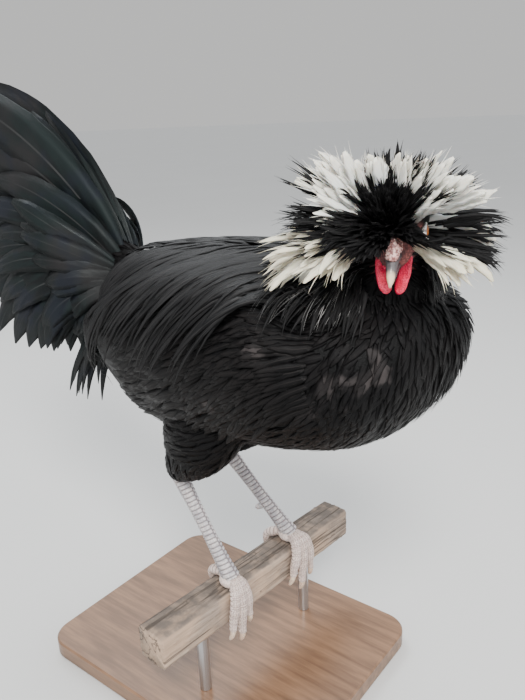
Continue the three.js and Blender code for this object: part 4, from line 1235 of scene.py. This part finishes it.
def crestLays(settings):
    droopAt = stationCurves(settings["droop"])
    t = np.linspace(0, 1, settings["rings"])
    late = np.linspace(0.4, 1.07, 7)
    kinds = [(shade, kind) for shade in ("black", "white", "cream") for kind in ("plume", "lance", "strand")]
    bins = {key: ([], [], [], []) for key in kinds}
    centre = inHead(settings["hub"])
    for lockTilt, lockTurn, lockLength, shade, count in crestLocks(settings):
        lockSway, lockLift = 0.1 * draw.normal(), 0.12 + 0.05 * draw.normal()
        for i in range(count):
            tilt = math.radians(max(2, lockTilt + 2.6 * draw.normal()))
            turn = math.radians(lockTurn) + 0.05 * draw.normal() / max(0.3, math.sin(tilt))
            droop = float(droopAt(np.array(math.degrees(tilt)))[0])
            length = lockLength * (0.72 + 0.32 * draw.random())
            level = math.sin(tilt)
            out = np.array([level * math.cos(turn), level * math.sin(turn), math.cos(tilt)]) @ crestAxes
            start = centre + out * settings["radius"] * (0.7 + 0.3 * draw.random())
            if shade == "cream":
                start, length = start + out * 0.3 * length, 0.74 * length
            sideways = unit(np.cross(out, crestUp) + 1e-6)
            sway = (lockSway + 0.05 * draw.normal()) * length
            roll = 0.2 * draw.normal()

            def along(u, aside=0.0):
                path = start + out * ((length + 6) * u * (1 - 0.12 * u))[:, None]
                path += sideways * (sway * u * u + aside * u * u)[:, None]
                path[:, 2] += length * (lockLift * u - droop * u * u)
                return path

            if hidesFace(along(t)):
                start, length = start + out * 0.4 * length, 0.6 * length
                if hidesFace(along(t)):
                    continue
            half = settings["halfWidth"][shade] * (0.6 + 0.65 * draw.random())
            place = (0.5 + tilt / 5.2 * math.cos(turn), 0.5 + tilt / 5.2 * math.sin(turn))
            plans = [("lance" if shade == "black" or draw.random() < 0.5 else "plume", t, 0.0, half)]
            for wisp in range(settings["wisps"]):
                aside = 2.6 * half * (draw.random() - 0.5)
                plans.append(("strand", late, aside, 0.35 + 0.3 * draw.random()))
            for kind, steps, aside, width in plans:
                paths, faces, halves, places = bins[(shade, kind)]
                facing = crestUp + 0.3 * headUp + 0.3 * out + roll * sideways
                paths.append(along(steps, aside))
                faces.append(np.broadcast_to(facing, (len(steps), 3)))
                halves.append(width)
                places.append(place)
    made = {}
    for (shade, kind), (paths, faces, halves, places) in bins.items():
        if paths:
            plan = (paths, faces, halves, kind, places, lots(len(paths)))
            piece = "wisps" if (shade, kind) == ("black", "strand") else shade
            made.setdefault(piece, []).append(newLay(*plan, thick=0.26, crown=0.12, fray=0.36))
    return made


crestMade = crestLays(crest)
coatPiece("crest_black", crestMade["black"], "hackle", "plumage")
coatPiece("crest_white", crestMade["white"], "white", "crest_plumage", ["crest"])
coatPiece("crest_wisps", crestMade["wisps"], "hackle", "plumage")
coatPiece("crest_cream", crestMade["cream"], "cream", "crest_plumage")


# The tail: a steep fan under long curved sickles, with coverts over its root.
tail = {
    "root": np.array([-116.0, 0.0, 236.0]),
    # [rise in degrees, length, spread aside] of each fan feather, which curls a little
    "fan": [
        (57, 176, 4), (49, 180, 8), (40, 180, 12), (32, 172, 16), (25, 158, 20), (18, 140, 24), (10, 122, 29),
        (1, 104, 32),
    ],
    # [rise, length, curl in degrees, spread, half width]
    "sickles": [
        (63, 306, 60, 18, 23), (58, 290, 62, 22, 23), (52, 268, 66, 27, 22), (45, 240, 71, 32, 21),
        (37, 210, 76, 38, 19), (27, 180, 79, 42, 18), (19, 156, 80, 45, 17), (11, 134, 78, 47, 16),
        (3, 114, 72, 48, 15), (-6, 98, 64, 48, 14),
    ],
    "top": [
        (57, 82, 34, 8, 12), (54, 92, 36, 13, 13), (50, 100, 40, 18, 13), (45, 94, 40, 24, 12),
        (39, 84, 40, 30, 12),
    ],
    "lesser": 44,
    "coverts": 70,
    "underCoverts": 70,
    "hanging": 16,
    "rings": {"plume": 14, "sickle": 24, "lance": 12},
    "crown": {"plume": 0.072, "sickle": 0.072, "lance": 0.12},
}


def tailPath(side, rise, length, curl, spread, t, start):
    angle = math.radians(rise)
    bend = angle - math.radians(curl) * t
    mean = (angle + bend) / 2
    far = start + (length - start) * t
    out = spread * np.sin(np.minimum(1, t * 1.1) * math.pi / 2)
    x, z = tail["root"][0] - np.cos(mean) * far, tail["root"][2] + np.sin(mean) * far
    path = np.stack([x, side * (4 + out), z], -1)
    face = np.stack([0.12 + 0 * t, side + 0 * t, 0.35 * math.sin(angle) * t + 0.1], -1)
    return path, face


def tailLays():
    groups = {kind: ([], [], [], []) for kind in tail["rings"]}

    def addFeather(kind, side, rise, length, curl, spread, half, start=0):
        paths, faces, halves, places = groups[kind]
        t = np.linspace(0, 1, tail["rings"][kind])
        path, face = tailPath(side, rise, length, curl, spread, t, start)
        paths.append(path)
        faces.append(face)
        halves.append(half)
        places.append((0.5 + side * (0.05 + spread / 130), 0.1 + 0.8 * (rise + 40) / 120))

    for word, side in bothSides:
        for rise, length, spread in tail["fan"]:
            addFeather("plume", side, rise, length, 10, spread, 15, 6)
        for sizes in tail["sickles"]:
            addFeather("sickle", side, *sizes, 6)
        for sizes in tail["top"]:
            addFeather("plume", side, *sizes)
        for i in range(tail["lesser"]):
            share = draw.random()
            rise = mix(60, -8, share) + 2 * draw.normal()
            length = mix(210, 92, share) * (0.72 + 0.3 * draw.random())
            curl, spread = mix(60, 80, share), mix(18, 50, draw.random())
            addFeather("sickle", side, rise, length, curl, spread, 11 + 5 * draw.random())
        for i in range(tail["coverts"]):
            share = draw.random()
            rise = mix(56, -14, share) + 3 * draw.normal()
            length = mix(105, 66, share) * (0.7 + 0.5 * draw.random())
            curl, spread = mix(36, 60, share), mix(14, 44, draw.random())
            addFeather("plume", side, rise, length, curl, spread, 8 + 3 * draw.random())
        for i in range(tail["underCoverts"]):
            rise = mix(-4, -72, draw.random())
            length, spread = 48 + 30 * draw.random(), 6 + 30 * draw.random()
            addFeather("lance", side, rise, length, 16, spread, 7 + 3 * draw.random())
        for i in range(tail["hanging"]):
            rise = mix(-50, -71, draw.random())
            length, spread = 84 + 34 * draw.random(), 16 + 24 * draw.random()
            addFeather("lance", side, rise, length, 10, spread, 4 + 1.6 * draw.random())
    return [
        newLay(*plan[:3], kind, plan[3], lots(len(plan[0])), thick=0.6, crown=tail["crown"][kind], fray=0.08)
        for kind, plan in groups.items()
    ]


coatPiece("coat_tail", tailLays(), "tail", "tail_plumage", ["tail"])


# The skin's material: black down under the plumage, rough pinkish face in front.
def skinMaterial():
    material, tree, shader, place = newMaterial("face_skin")
    marks = groupNode(tree, pores, Vector=place, Scale=850.0)
    away = vectorNode(tree, "DISTANCE", place, tuple(toWorld(inHead((16, 0, -1)))))["Value"]
    bare = remap(tree, away, 0.017, 0.023, 1.0, 0.0)
    flesh = mixColor(tree, marks["Patch"], (0.32, 0.11, 0.1), (0.1, 0.045, 0.045))
    flesh = mixColor(tree, times(tree, marks["Pit"], 0.55), flesh, (0.05, 0.022, 0.022))
    color = mixColor(tree, bare, (0.0028, 0.0028, 0.003), flesh)
    feedAll(tree, shader, {"Base Color": color, "Roughness": 0.62, "Specular IOR Level": 0.12})
    bumpFrom(tree, shader, marks["Height"], 0.0004, 0.6)
    return material


finished(skin, skinMaterial(), "face", "torso", "head", "thigh_right", "thigh_left")


# Flesh and horn of the head. Colours are a light tone, a dark tone and the pits.
def fleshMaterial(name, colors, roughness, poreScale, depth, subsurface=0.15, coat=0.0):
    material, tree, shader, place = newMaterial(name)
    marks = groupNode(tree, pores, Vector=place, Scale=poreScale)
    color = mixColor(tree, marks["Patch"], colors[0], colors[1])
    feedAll(tree, shader, {
        "Base Color": mixColor(tree, marks["Pit"], color, colors[2]), "Roughness": roughness,
        "Subsurface Weight": subsurface, "Subsurface Scale": 0.003, "Coat Weight": coat,
    })
    bumpFrom(tree, shader, marks["Height"], depth, 0.7)
    return material


wattleTones = ((0.74, 0.008, 0.06), (0.86, 0.04, 0.12), (0.5, 0.004, 0.035))
wattleSkin = fleshMaterial("wattle_skin", wattleTones, 0.4, 1300.0, 0.00016, 0.2, 0.12)
knobTones = ((0.6, 0.29, 0.26), (0.76, 0.52, 0.47), (0.2, 0.075, 0.07))
knobSkin = fleshMaterial("knob_skin", knobTones, 0.5, 620.0, 0.0006, 0.12)
lobeTones = ((0.8, 0.78, 0.78), (0.68, 0.62, 0.63), (0.5, 0.42, 0.42))
lobeSkin = fleshMaterial("lobe_skin", lobeTones, 0.6, 900.0, 0.0002)
combTones = ((0.12, 0.02, 0.025), (0.2, 0.04, 0.045), (0.04, 0.01, 0.012))
combSkin = fleshMaterial("comb_skin", combTones, 0.5, 1100.0, 0.0002, 0.1)

knobForm = [ballForm((23.5, 0, 6), (6.6, 5.6, 5.4)), ballForm((29, 0, 3.8), (4.6, 4.2, 3.4))]
knob = fusedSkin("nostrils", knobForm, 0.45, 5)
knobPoints, knobNormals = pointsOf(knob), normalsOf(knob)
lumps = noiseAt(knobPoints, 0.42, 3) * 1.1 + noiseAt(knobPoints, 1.1, 9) * 0.45
for word, side in bothSides:
    hole = inHead((28.4, side * 4.2, 3.4))
    lumps -= 2.2 * (1 - ramp(np.linalg.norm(knobPoints - hole, axis=1), 0.6, 2.3))
movePoints(knob, knobPoints + knobNormals * lumps[:, None] * 0.8)
finished(knob, knobSkin, "flesh", "nostril_knob")

wattle = {"root": (17, 7.4, -3.5), "bend": (24.5, 7.6, -11.5), "tip": (28, 2.6, -23.5)}
wattleStations = [
    [0, 3.4, 2.2], [0.3, 4, 1.9], [0.65, 4.4, 1.8], [0.88, 3.8, 1.6], [0.97, 2.3, 1.1], [1, 1.1, 0.6],
]


def crinkle(t, turn):
    return 0.28 * np.sin(t * 19 + np.sin(turn) * 2) * np.abs(np.sin(turn)) + 0.1 * np.sin(turn * 7 + t * 9)


for word, side in bothSides:
    spots = [inHead((x, side * y, z)) for x, y, z in wattle.values()]
    lobe = limb(bezier(spots), wattleStations, 44, 36, side=headForward + headLeft * side, swell=crinkle)
    points, faces = joined([lobe, ballForm((17, side * 5.4, -9.5), (6, 2.4, 3.6))])
    finished(meshPiece("wattle_skin_" + word, points, faces), wattleSkin, "wattle", "wattle_" + word)
    points, faces = ballForm((-5, side * 16, -6), (4.6, 1.9, 6.4))
    finished(meshPiece("lobe_" + word, points, faces), lobeSkin, "lobe", "earlobe_" + word)

hornStations = [[0, 2.8, 2.3], [0.5, 2.4, 1.9], [0.9, 1.4, 1.2], [1, 0.7, 0.6]]
combForms = [ballForm((17, 0, 8.5), (3, 4, 3))]
for word, side in bothSides:
    spots = [inHead((17, side * 2.5, 8)), inHead((18, side * 5.5, 12)), inHead((16, side * 7.5, 15))]
    combForms.append(limb(bezier(spots), hornStations, 18, 18))
finished(fusedSkin("comb_horns", combForms, 0.4, 4), combSkin, "wattle", "comb")
print("face flesh")


def hornMaterial():
    material, tree, shader, place = newMaterial("beak_horn")
    away = vectorNode(tree, "DISTANCE", place, tuple(toWorld(inHead((22, 0, 0)))))["Value"]
    streaks = cloud(tree, place, 420.0, 4.0)
    dark = mixColor(tree, streaks, (0.02, 0.018, 0.02), (0.17, 0.155, 0.16))
    color = mixColor(tree, remap(tree, away, 0.0145, 0.0185), dark, (0.82, 0.6, 0.4))
    feedAll(tree, shader, {"Base Color": color, "Roughness": 0.36, "Coat Weight": 0.2})
    bumpFrom(tree, shader, streaks, 0.0002, 0.5)
    return material


beakHorn = hornMaterial()
bill = {
    "upper": [
        [20, -1.2, 5.4, 6.3, 2.6], [28, -1.6, 3.9, 5.2, 2.3], [34, -3, 3, 4.1, 2.2],
        [39, -5.4, 2.2, 3.2, 2.3], [42, -8.2, 0.9, 1.8, 1.5],
    ],
    "lower": [
        [19, -7, 4.8, 2.4, 3], [27, -7.2, 3.5, 2.1, 2.9], [33, -8.4, 2.5, 1.8, 2.4], [37, -10, 1.2, 0.9, 1.1],
    ],
}


def growth(x, turn):
    return 0.06 * np.sin(x * 4.2) + 0.05 * np.cos(turn * 2)


for half, stations in bill.items():
    points, faces = headForm(stations, 40, 36, growth)
    finished(meshPiece("bill_" + half, points, faces), beakHorn, "horn", "beak_" + half)


# Eyes and lids.
def eyeMaterial():
    material, tree, shader, place = newMaterial("eye_glass")
    bands = []
    for word, side in bothSides:
        front = toWorld(inHead(head["eyePlace"] * (1, side, 1) + np.array([0, side * 4.6, 0])))
        bands.append(vectorNode(tree, "DISTANCE", place, tuple(front))["Value"])
    near = mathNode(tree, "MINIMUM", *bands)
    iris = mixColor(tree, cloud(tree, place, 900.0, 3.0), (0.2, 0.05, 0.015), (0.5, 0.18, 0.05))
    color = mixColor(tree, remap(tree, near, 0.0019, 0.0022), (0.004, 0.004, 0.004), iris)
    color = mixColor(tree, remap(tree, near, 0.0036, 0.0042), color, (0.03, 0.015, 0.012))
    feedAll(tree, shader, {
        "Base Color": color, "Roughness": 0.08, "Coat Weight": 1.0, "Coat Roughness": 0.02,
    })
    return material


eyeGlass = eyeMaterial()
lidTones = ((0.78, 0.76, 0.75), (0.62, 0.59, 0.58), (0.16, 0.14, 0.14))
lidSkin = fleshMaterial("lid_skin", lidTones, 0.5, 620.0, 0.0005)
lid = {"tube": 16, "round": 48, "radius": 5.3, "thick": (1.7, 1.4), "out": 1.8}


# A lid is a wrinkled ring that stands round its eye.
def lidForm(side):
    x, y, z = head["eyePlace"]
    turn = np.linspace(0, 2 * math.pi, lid["round"] + 1)[:-1]
    rows, faces = [], []
    for tube in np.linspace(0, 2 * math.pi, lid["tube"] + 1)[:-1]:
        radius = lid["radius"] + lid["thick"][0] * np.cos(tube) + 0.16 * np.sin(turn * 9)
        out = side * (y + lid["out"] + lid["thick"][1] * np.sin(tube)) + 0 * turn
        ring = np.stack([x + radius * 1.08 * np.cos(turn), out, z + radius * 0.84 * np.sin(turn)], -1)
        rows.append(inHead(ring))
    for i in range(lid["tube"]):
        for j in range(lid["round"]):
            a, b = i * lid["round"], (i + 1) % lid["tube"] * lid["round"]
            k = (j + 1) % lid["round"]
            faces.append((a + j, a + k, b + k, b + j)[::side])
    return np.array(rows).reshape(-1, 3), faces


for word, side in bothSides:
    x, y, z = head["eyePlace"]
    points, faces = ballForm((x, side * (y - 0.6), z), [head["eyeRadius"]] * 3, rings=32, sides=40)
    finished(meshPiece("eyeball_" + word, points, faces), eyeGlass, "eye", "eye_" + word)
    finished(meshPiece("lid_" + word, *lidForm(side)), lidSkin, "face")
print("eyes and bill")


# Shanks, feet and claws.
def scaleMaterial(name, colors):
    material, tree, shader, place = newMaterial(name)
    marks = groupNode(tree, pores, Vector=place, Scale=700.0, **{"Patch Scale": 120.0})
    heightMap = put(tree, "ShaderNodeAttribute", attribute_name="scale").outputs["Fac"]
    groove = remap(tree, heightMap, 0.1, 0.85, 1.0, 0.0)
    color = mixColor(tree, marks["Patch"], colors[0], colors[1])
    color = mixColor(tree, times(tree, groove, 0.8), color, colors[2])
    color = mixColor(tree, times(tree, marks["Pit"], 0.3), color, colors[2])
    feedAll(tree, shader, {
        "Base Color": color, "Roughness": 0.55, "Subsurface Weight": 0.05, "Subsurface Scale": 0.002,
    })
    bumpFrom(tree, shader, marks["Height"], 0.0002, 0.5)
    return material


def shellHeights(piece, heights):
    attribute = piece.data.attributes.new("scale", "FLOAT", "POINT")
    attribute.data.foreach_set("value", np.resize(heights, len(piece.data.vertices)).astype(np.float32))


shankScales = scaleMaterial("shank_scales", ((0.42, 0.4, 0.42), (0.62, 0.58, 0.57), (0.12, 0.095, 0.1)))
toeScales = scaleMaterial("toe_scales", ((0.68, 0.56, 0.49), (0.76, 0.64, 0.58), (0.2, 0.13, 0.12)))
clawTones = ((0.72, 0.56, 0.42), (0.82, 0.68, 0.54), (0.5, 0.36, 0.27))
clawHorn = fleshMaterial("claw_horn", clawTones, 0.35, 1200.0, 0.00008, 0.1)

shank = {
    "girth": [[0, 1.2], [0.12, 1.1], [0.3, 0.95], [0.7, 0.95], [0.9, 1.12], [1, 1.3]],
    "scutes": 26,
    "rings": 260,
    "sides": 64,
    "spur": [[0, 3.4, 3.4], [0.7, 2.6, 2.6], [0.93, 1.7, 1.7], [1, 0.8, 0.8]],
}


# Small scales in staggered rows, as heights from 0 in the seams to 1.
def fineScales(t, turn, rows, around):
    along = np.mod(t * rows, 1)
    across = np.mod(turn / (2 * math.pi) * around + 0.5 * np.mod(np.floor(t * rows), 2), 1)
    return np.minimum(1, np.minimum(np.minimum(across, 1 - across), np.minimum(along, 1 - along)) * 5)


# Height of the scales round a shank: two rows of wide scutes in front, small ones behind.
def shankScaleHeight(t, turn):
    row = np.where(np.sin(turn) > 0, 0.0, 0.5)
    frontal = np.cos(turn) > -0.1
    step = np.mod(t * shank["scutes"] + row, 1)
    seam = np.minimum(1, np.abs(np.sin(turn)) * 5)
    front = np.minimum(1, np.minimum(step, 1 - step) * 3.4) * np.where(frontal, seam, 1)
    return np.where(frontal, front, fineScales(t, turn, 44, 20) * 0.8)


def shankRings(leg):
    start, end = leg["hock"] + np.array([-2, 0, 5]), leg["foot"]
    along = unit(end - start)
    across = unit(np.array([0, 1, 0]) - along * along[1])
    front = np.cross(across, along)
    front = front if front[0] > 0 else -front
    t = np.linspace(0, 1, shank["rings"])
    turn = np.linspace(0, 2 * math.pi, shank["sides"], endpoint=False)
    size = stationCurves(shank["girth"])(t)[0][:, None]
    height = shankScaleHeight(t[:, None], turn[None, :])
    oval = 1.1 - 0.12 * np.abs(np.sin(turn))[None, :]
    reach = legs["shankRadius"] * size * oval + 0.8 * height - 0.4
    centre = start + (end - start) * t[:, None]
    first = (np.cos(turn)[None, :] * reach)[..., None] * front
    second = (np.sin(turn)[None, :] * reach * 0.86)[..., None] * across
    return centre[:, None] + first + second, height, front


# The spur stands on the back of the shank, a third of the way up.
for word, side in bothSides:
    leg = legs[word]
    rings, heights, front = shankRings(leg)
    spurRoot = mix(leg["hock"] + np.array([-2, 0, 5]), leg["foot"], 0.66) - front * 3
    spurTip = spurRoot - front * 9 + np.array([0, -side * 5, 1])
    spur = limb(pathThrough([spurRoot, mix(spurRoot, spurTip, 0.5), spurTip]), shank["spur"], 20, 24)
    piece = meshPiece("shank_scales_" + word, *joined([overRings(rings), spur]))
    shellHeights(piece, np.concatenate([heights.ravel(), [1, 1], np.ones(len(spur[0]))]))
    finished(piece, shankScales, "scales", "shank_" + word)

railYaw = math.radians(-5)
railForward = np.array([math.cos(railYaw), math.sin(railYaw), 0])
railAlong = np.array([-math.sin(railYaw), math.cos(railYaw), 0])
railSide = 28.0


def onRail(forward, along, up):
    return railForward * forward + railAlong * along + np.array([0, 0, up])


# Each toe's turn from straight ahead in degrees, its size, rows of scutes and rings.
toePlan = {
    "inner": (26, 0.94, 17, 130), "middle": (2, 1.0, 17, 130), "outer": (-24, 0.92, 17, 130),
    "hind": (0, 0.9, 9, 70),
}


def toePath(leg, name):
    turn, size = toePlan[name][:2]
    along, forward = leg["foot"] @ railAlong, leg["foot"] @ railForward
    drift = math.tan(math.radians(turn)) * -leg["side"]
    high = legs["toeRadius"] * size
    edge = railSide / 2 + high
    down = legs["toeLengths"][name] - (edge - forward)
    at = lambda f, z, extra=0: onRail(f, along + drift * (f - forward + extra), z)
    return pathThrough([
        at(forward - 1, high + 2.5), at(mix(forward, edge, 0.55), high + 3), at(edge - 1.5, high + 0.5),
        at(edge + 1.6, -5, 3), at(edge + 0.4, -down * 0.62, 8), at(edge + 0.2, -down, 12),
    ])


def hindPath(leg):
    along, forward, side = leg["foot"] @ railAlong, leg["foot"] @ railForward, leg["side"]
    edge = -railSide / 2 - legs["toeRadius"]
    return pathThrough([
        onRail(forward - 1, along, legs["toeRadius"] + 2.5),
        onRail(mix(forward, edge, 0.6), along - side * 3, legs["toeRadius"] + 1.6),
        onRail(edge + 0.6, along - side * 5, 0.5),
        onRail(edge, along - side * 6, -legs["toeLengths"]["hind"] * 0.5),
    ])


def toeStations(size):
    r = legs["toeRadius"]
    return [
        [0, 6.2 * size, 5.2 * size], [0.25, r * size, r * size], [0.5, r * size * 1.06, r * size * 0.96],
        [0.8, r * size * 0.9, r * size * 0.86], [1, r * size * 0.66, r * size * 0.66],
    ]


def toeHeights(t, turn, count):
    step = np.mod(t * count, 1)
    upper = np.minimum(1, np.minimum(step, 1 - step) * 3.4)
    return np.where(np.sin(turn) < 0.15, upper, fineScales(t, turn, 40, 14) * 0.8)


def roll(t):
    return 0.35 * np.sin(t * 3 * 2 * math.pi)


toeSides = 40
for word, side in bothSides:
    leg = legs[word]
    parts, heights, nails = [], [], []
    for name, (turn, size, count, rings) in toePlan.items():
        path = hindPath(leg) if name == "hind" else toePath(leg, name)
        swell = lambda t, turn: 0.42 * toeHeights(t, turn, count) - 0.1 + roll(t) * (np.sin(turn) > 0)
        parts.append(limb(path, toeStations(size), rings, toeSides, side=railAlong, swell=swell))
        around = np.linspace(0, 2 * math.pi, toeSides, endpoint=False)
        grid = toeHeights(np.linspace(0, 1, rings)[:, None], around[None, :], count)
        heights += [grid.ravel(), np.ones(2)]
        end = path(np.array([0.97, 1.0]))
        heading = unit(end[1] - end[0])
        inward = railForward * (1 if name == "hind" else -1)
        tip = end[1]
        curve = bezier([tip - heading * 1.2, tip + heading * 6, tip + heading * 10.5 + inward * 3.5])
        girth = [[0, 2.8 * size, 2.8 * size], [0.5, 2.2 * size, 2.3 * size], [0.85, 1.3, 1.4], [1, 0.45, 0.5]]
        nails.append((name, limb(curve, girth, 22, 20, side=railAlong)))
    along, forward = leg["foot"] @ railAlong, leg["foot"] @ railForward
    pad = ballForm(onRail(forward - 1, along, 6.6), (9.3, 8.8, 6.2), local=False, rings=30, sides=40)
    parts.append(pad)
    heights.append(np.full(len(pad[0]), 0.8))
    piece = meshPiece("toes_" + word, *joined(parts))
    shellHeights(piece, np.concatenate(heights))
    finished(piece, toeScales, "scales", "foot_" + word)
    for name, form in nails:
        nail = meshPiece("nail_" + word + "_" + name, *form)
        finished(nail, clawHorn, "claws", "claw_" + word + "_" + name)
print("legs")


# The stand.
def timberMaterial():
    material, tree, shader, place = newMaterial("old_timber")
    turned = put(tree, "ShaderNodeMapping", Vector=place, Rotation=(0, 0, -railYaw)).outputs[0]
    fibres = groupNode(tree, grain, Vector=turned, Fibres=420.0, Length=0.05, Checks=0.8)
    color = mixColor(tree, fibres["Fibre"], (0.17, 0.125, 0.095), (0.36, 0.285, 0.23))
    color = mixColor(tree, times(tree, fibres["Patch"], 0.6), color, (0.5, 0.34, 0.23))
    normal = put(tree, "ShaderNodeNewGeometry").outputs["Normal"]
    upward = remap(tree, put(tree, "ShaderNodeSeparateXYZ", Vector=normal).outputs[2], 0.4, 0.95)
    dirt = remap(tree, cloud(tree, place, 120.0, 5.0), 0.3, 0.62, 0.4, 1.0)
    color = mixColor(tree, times(tree, upward, dirt), color, (0.13, 0.105, 0.088))
    color = mixColor(tree, fibres["Check"], color, (0.05, 0.038, 0.03))
    feedAll(tree, shader, {"Base Color": color, "Roughness": 0.85})
    bumpFrom(tree, shader, fibres["Height"], 0.0006, 0.8)
    return material


def plinthMaterial():
    material, tree, shader, place = newMaterial("plinth_wood")
    turned = put(tree, "ShaderNodeMapping", Vector=place, Rotation=(0, 0, math.pi / 2)).outputs[0]
    fibres = groupNode(tree, grain, Vector=turned, Fibres=150.0, Length=0.08, Checks=0.15)
    color = mixColor(tree, fibres["Fibre"], (0.12, 0.06, 0.03), (0.24, 0.13, 0.07))
    color = mixColor(tree, times(tree, fibres["Check"], 0.8), color, (0.05, 0.025, 0.015))
    feedAll(tree, shader, {
        "Base Color": color, "Roughness": 0.42, "Coat Weight": 0.25, "Coat Roughness": 0.2,
    })
    bumpFrom(tree, shader, fibres["Height"], 0.00015, 0.4)
    return material


def rodMaterial():
    material, tree, shader, place = newMaterial("brushed_rod")
    squeezed = put(tree, "ShaderNodeMapping", Vector=place, Scale=(1, 1, 6)).outputs[0]
    fibres = groupNode(tree, grain, Vector=squeezed, Fibres=1400.0, Length=1.0, Checks=0.0)
    color = mixColor(tree, fibres["Fibre"], (0.42, 0.42, 0.43), (0.6, 0.6, 0.61))
    rough = remap(tree, fibres["Fibre"], 0.0, 1.0, 0.28, 0.45)
    feedAll(tree, shader, {"Base Color": color, "Roughness": rough, "Metallic": 0.95})
    bumpFrom(tree, shader, fibres["Height"], 0.00003, 0.4)
    return material


rail = {"length": 230, "rings": 260, "sides": 96, "squareness": 9.0}


def railForm():
    half = railSide / 2
    turn = np.linspace(0, 2 * math.pi, rail["sides"], endpoint=False)
    power = rail["squareness"]
    shape = (np.abs(np.cos(turn)) ** power + np.abs(np.sin(turn)) ** power) ** (-1 / power)
    across, up = np.cos(turn) * shape * half, np.sin(turn) * shape * half
    along = np.linspace(-rail["length"] / 2, rail["length"] / 2, rail["rings"])
    return overRings([np.array([onRail(f, a, z - half) for f, z in zip(across, up)]) for a in along])


perch = meshPiece("perch", *railForm())
perchPoints, perchNormals = pointsOf(perch), normalsOf(perch)
alongRail = perchPoints @ railAlong
stretched = np.stack([perchPoints @ railForward * 0.3, alongRail * 0.02, perchPoints[:, 2] * 0.3], -1)
wear = noiseAt(stretched, 1.0, 2) * 0.5 + noiseAt(stretched, 3.1, 5) * 0.35
wear -= 0.7 * (1 - ramp(np.abs(noiseAt(stretched, 1.3, 11)), 0.0, 0.05))
movePoints(perch, perchPoints + perchNormals * (wear - 0.35)[:, None])
finished(perch, timberMaterial(), "timber", "stand_rail")

rodMetal = rodMaterial()
standFinish = {"stand_base": plinthMaterial(), "stand_rod_near": rodMetal, "stand_rod_far": rodMetal}
for name, material in standFinish.items():
    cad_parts[name].data.materials.clear()
    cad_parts[name].data.materials.append(material)
print("stand")


# Floor, light and camera.
def stageMaterial():
    material, tree, shader, place = newMaterial("studio_floor")
    color = mixColor(tree, cloud(tree, place, 2.0, 2.0), (0.56, 0.56, 0.552), (0.6, 0.6, 0.592))
    feedAll(tree, shader, {"Base Color": color, "Roughness": 0.9})
    return material


bpy.ops.mesh.primitive_circle_add(vertices=96, radius=30, fill_type="NGON", location=(0, 0, -0.0006))
floor = bpy.context.object
floor.name = "floor"
floor.data.materials.append(stageMaterial())

# The camera sees the backdrop in the floor's own tone, so that no line shows where they meet.
world = bpy.data.worlds.new("studio")
bpy.context.scene.world = world
world.use_nodes = True
air = world.node_tree
sky = air.nodes["Background"]
feedAll(air, sky, {"Color": (0.9, 0.92, 0.94), "Strength": 1.1})
backdrop = put(air, "ShaderNodeBackground", Color=(0.6, 0.6, 0.595), Strength=1.1)
seen = put(air, "ShaderNodeLightPath").outputs["Is Camera Ray"]
either = put(air, "ShaderNodeMixShader").inputs
for socket, value in zip(either, (seen, sky.outputs[0], backdrop.outputs[0])):
    feed(air, socket, value)
feed(air, air.nodes["World Output"].inputs[0], either[0].node.outputs[0])


def softLight(name, place, aim, size, power, color=(1, 1, 1)):
    light = bpy.data.lights.new(name, "AREA")
    light.shape = "DISK"
    light.size = size
    light.energy = power
    light.color = color
    lamp = placed(name, light)
    lamp.location = place
    lamp.rotation_euler = (Vector(aim) - Vector(place)).to_track_quat("-Z", "Y").to_euler()


softLight("key", (0.9, -1.1, 1.7), (0.05, 0, 0.3), 0.7, 66, (1, 0.985, 0.96))
softLight("sky", (-0.9, 0.5, 1.6), (0, 0, 0.3), 0.9, 22, (0.93, 0.97, 1))
softLight("fill", (1.5, 0.4, 0.9), (0, 0, 0.25), 1.0, 8)

view = {
    "azimuth": 38.2, "elevation": 18.9, "roll": -2.2, "distance": 0.53, "lens": 35.74,
    "target": (0.018, 0, 0.303),
}
turn, lift, roll = (math.radians(view[key]) for key in ("azimuth", "elevation", "roll"))
back = Vector((math.sin(turn) * math.cos(lift), -math.cos(turn) * math.cos(lift), math.sin(lift)))
right = Vector((math.cos(turn), math.sin(turn), 0))
up = back.cross(right)
right, up = right * math.cos(roll) + up * math.sin(roll), up * math.cos(roll) - right * math.sin(roll)
lens = bpy.data.cameras.new("camera")
lens.lens = view["lens"]
lens.sensor_width = 36
lens.sensor_fit = "AUTO"
lens.clip_start = 0.01
camera = placed("camera", lens)
place = Vector(view["target"]) + back * view["distance"]
camera.matrix_world = Matrix.Translation(place) @ Matrix((right, up, back)).transposed().to_4x4()
bpy.context.scene.camera = camera
print("stage and camera")
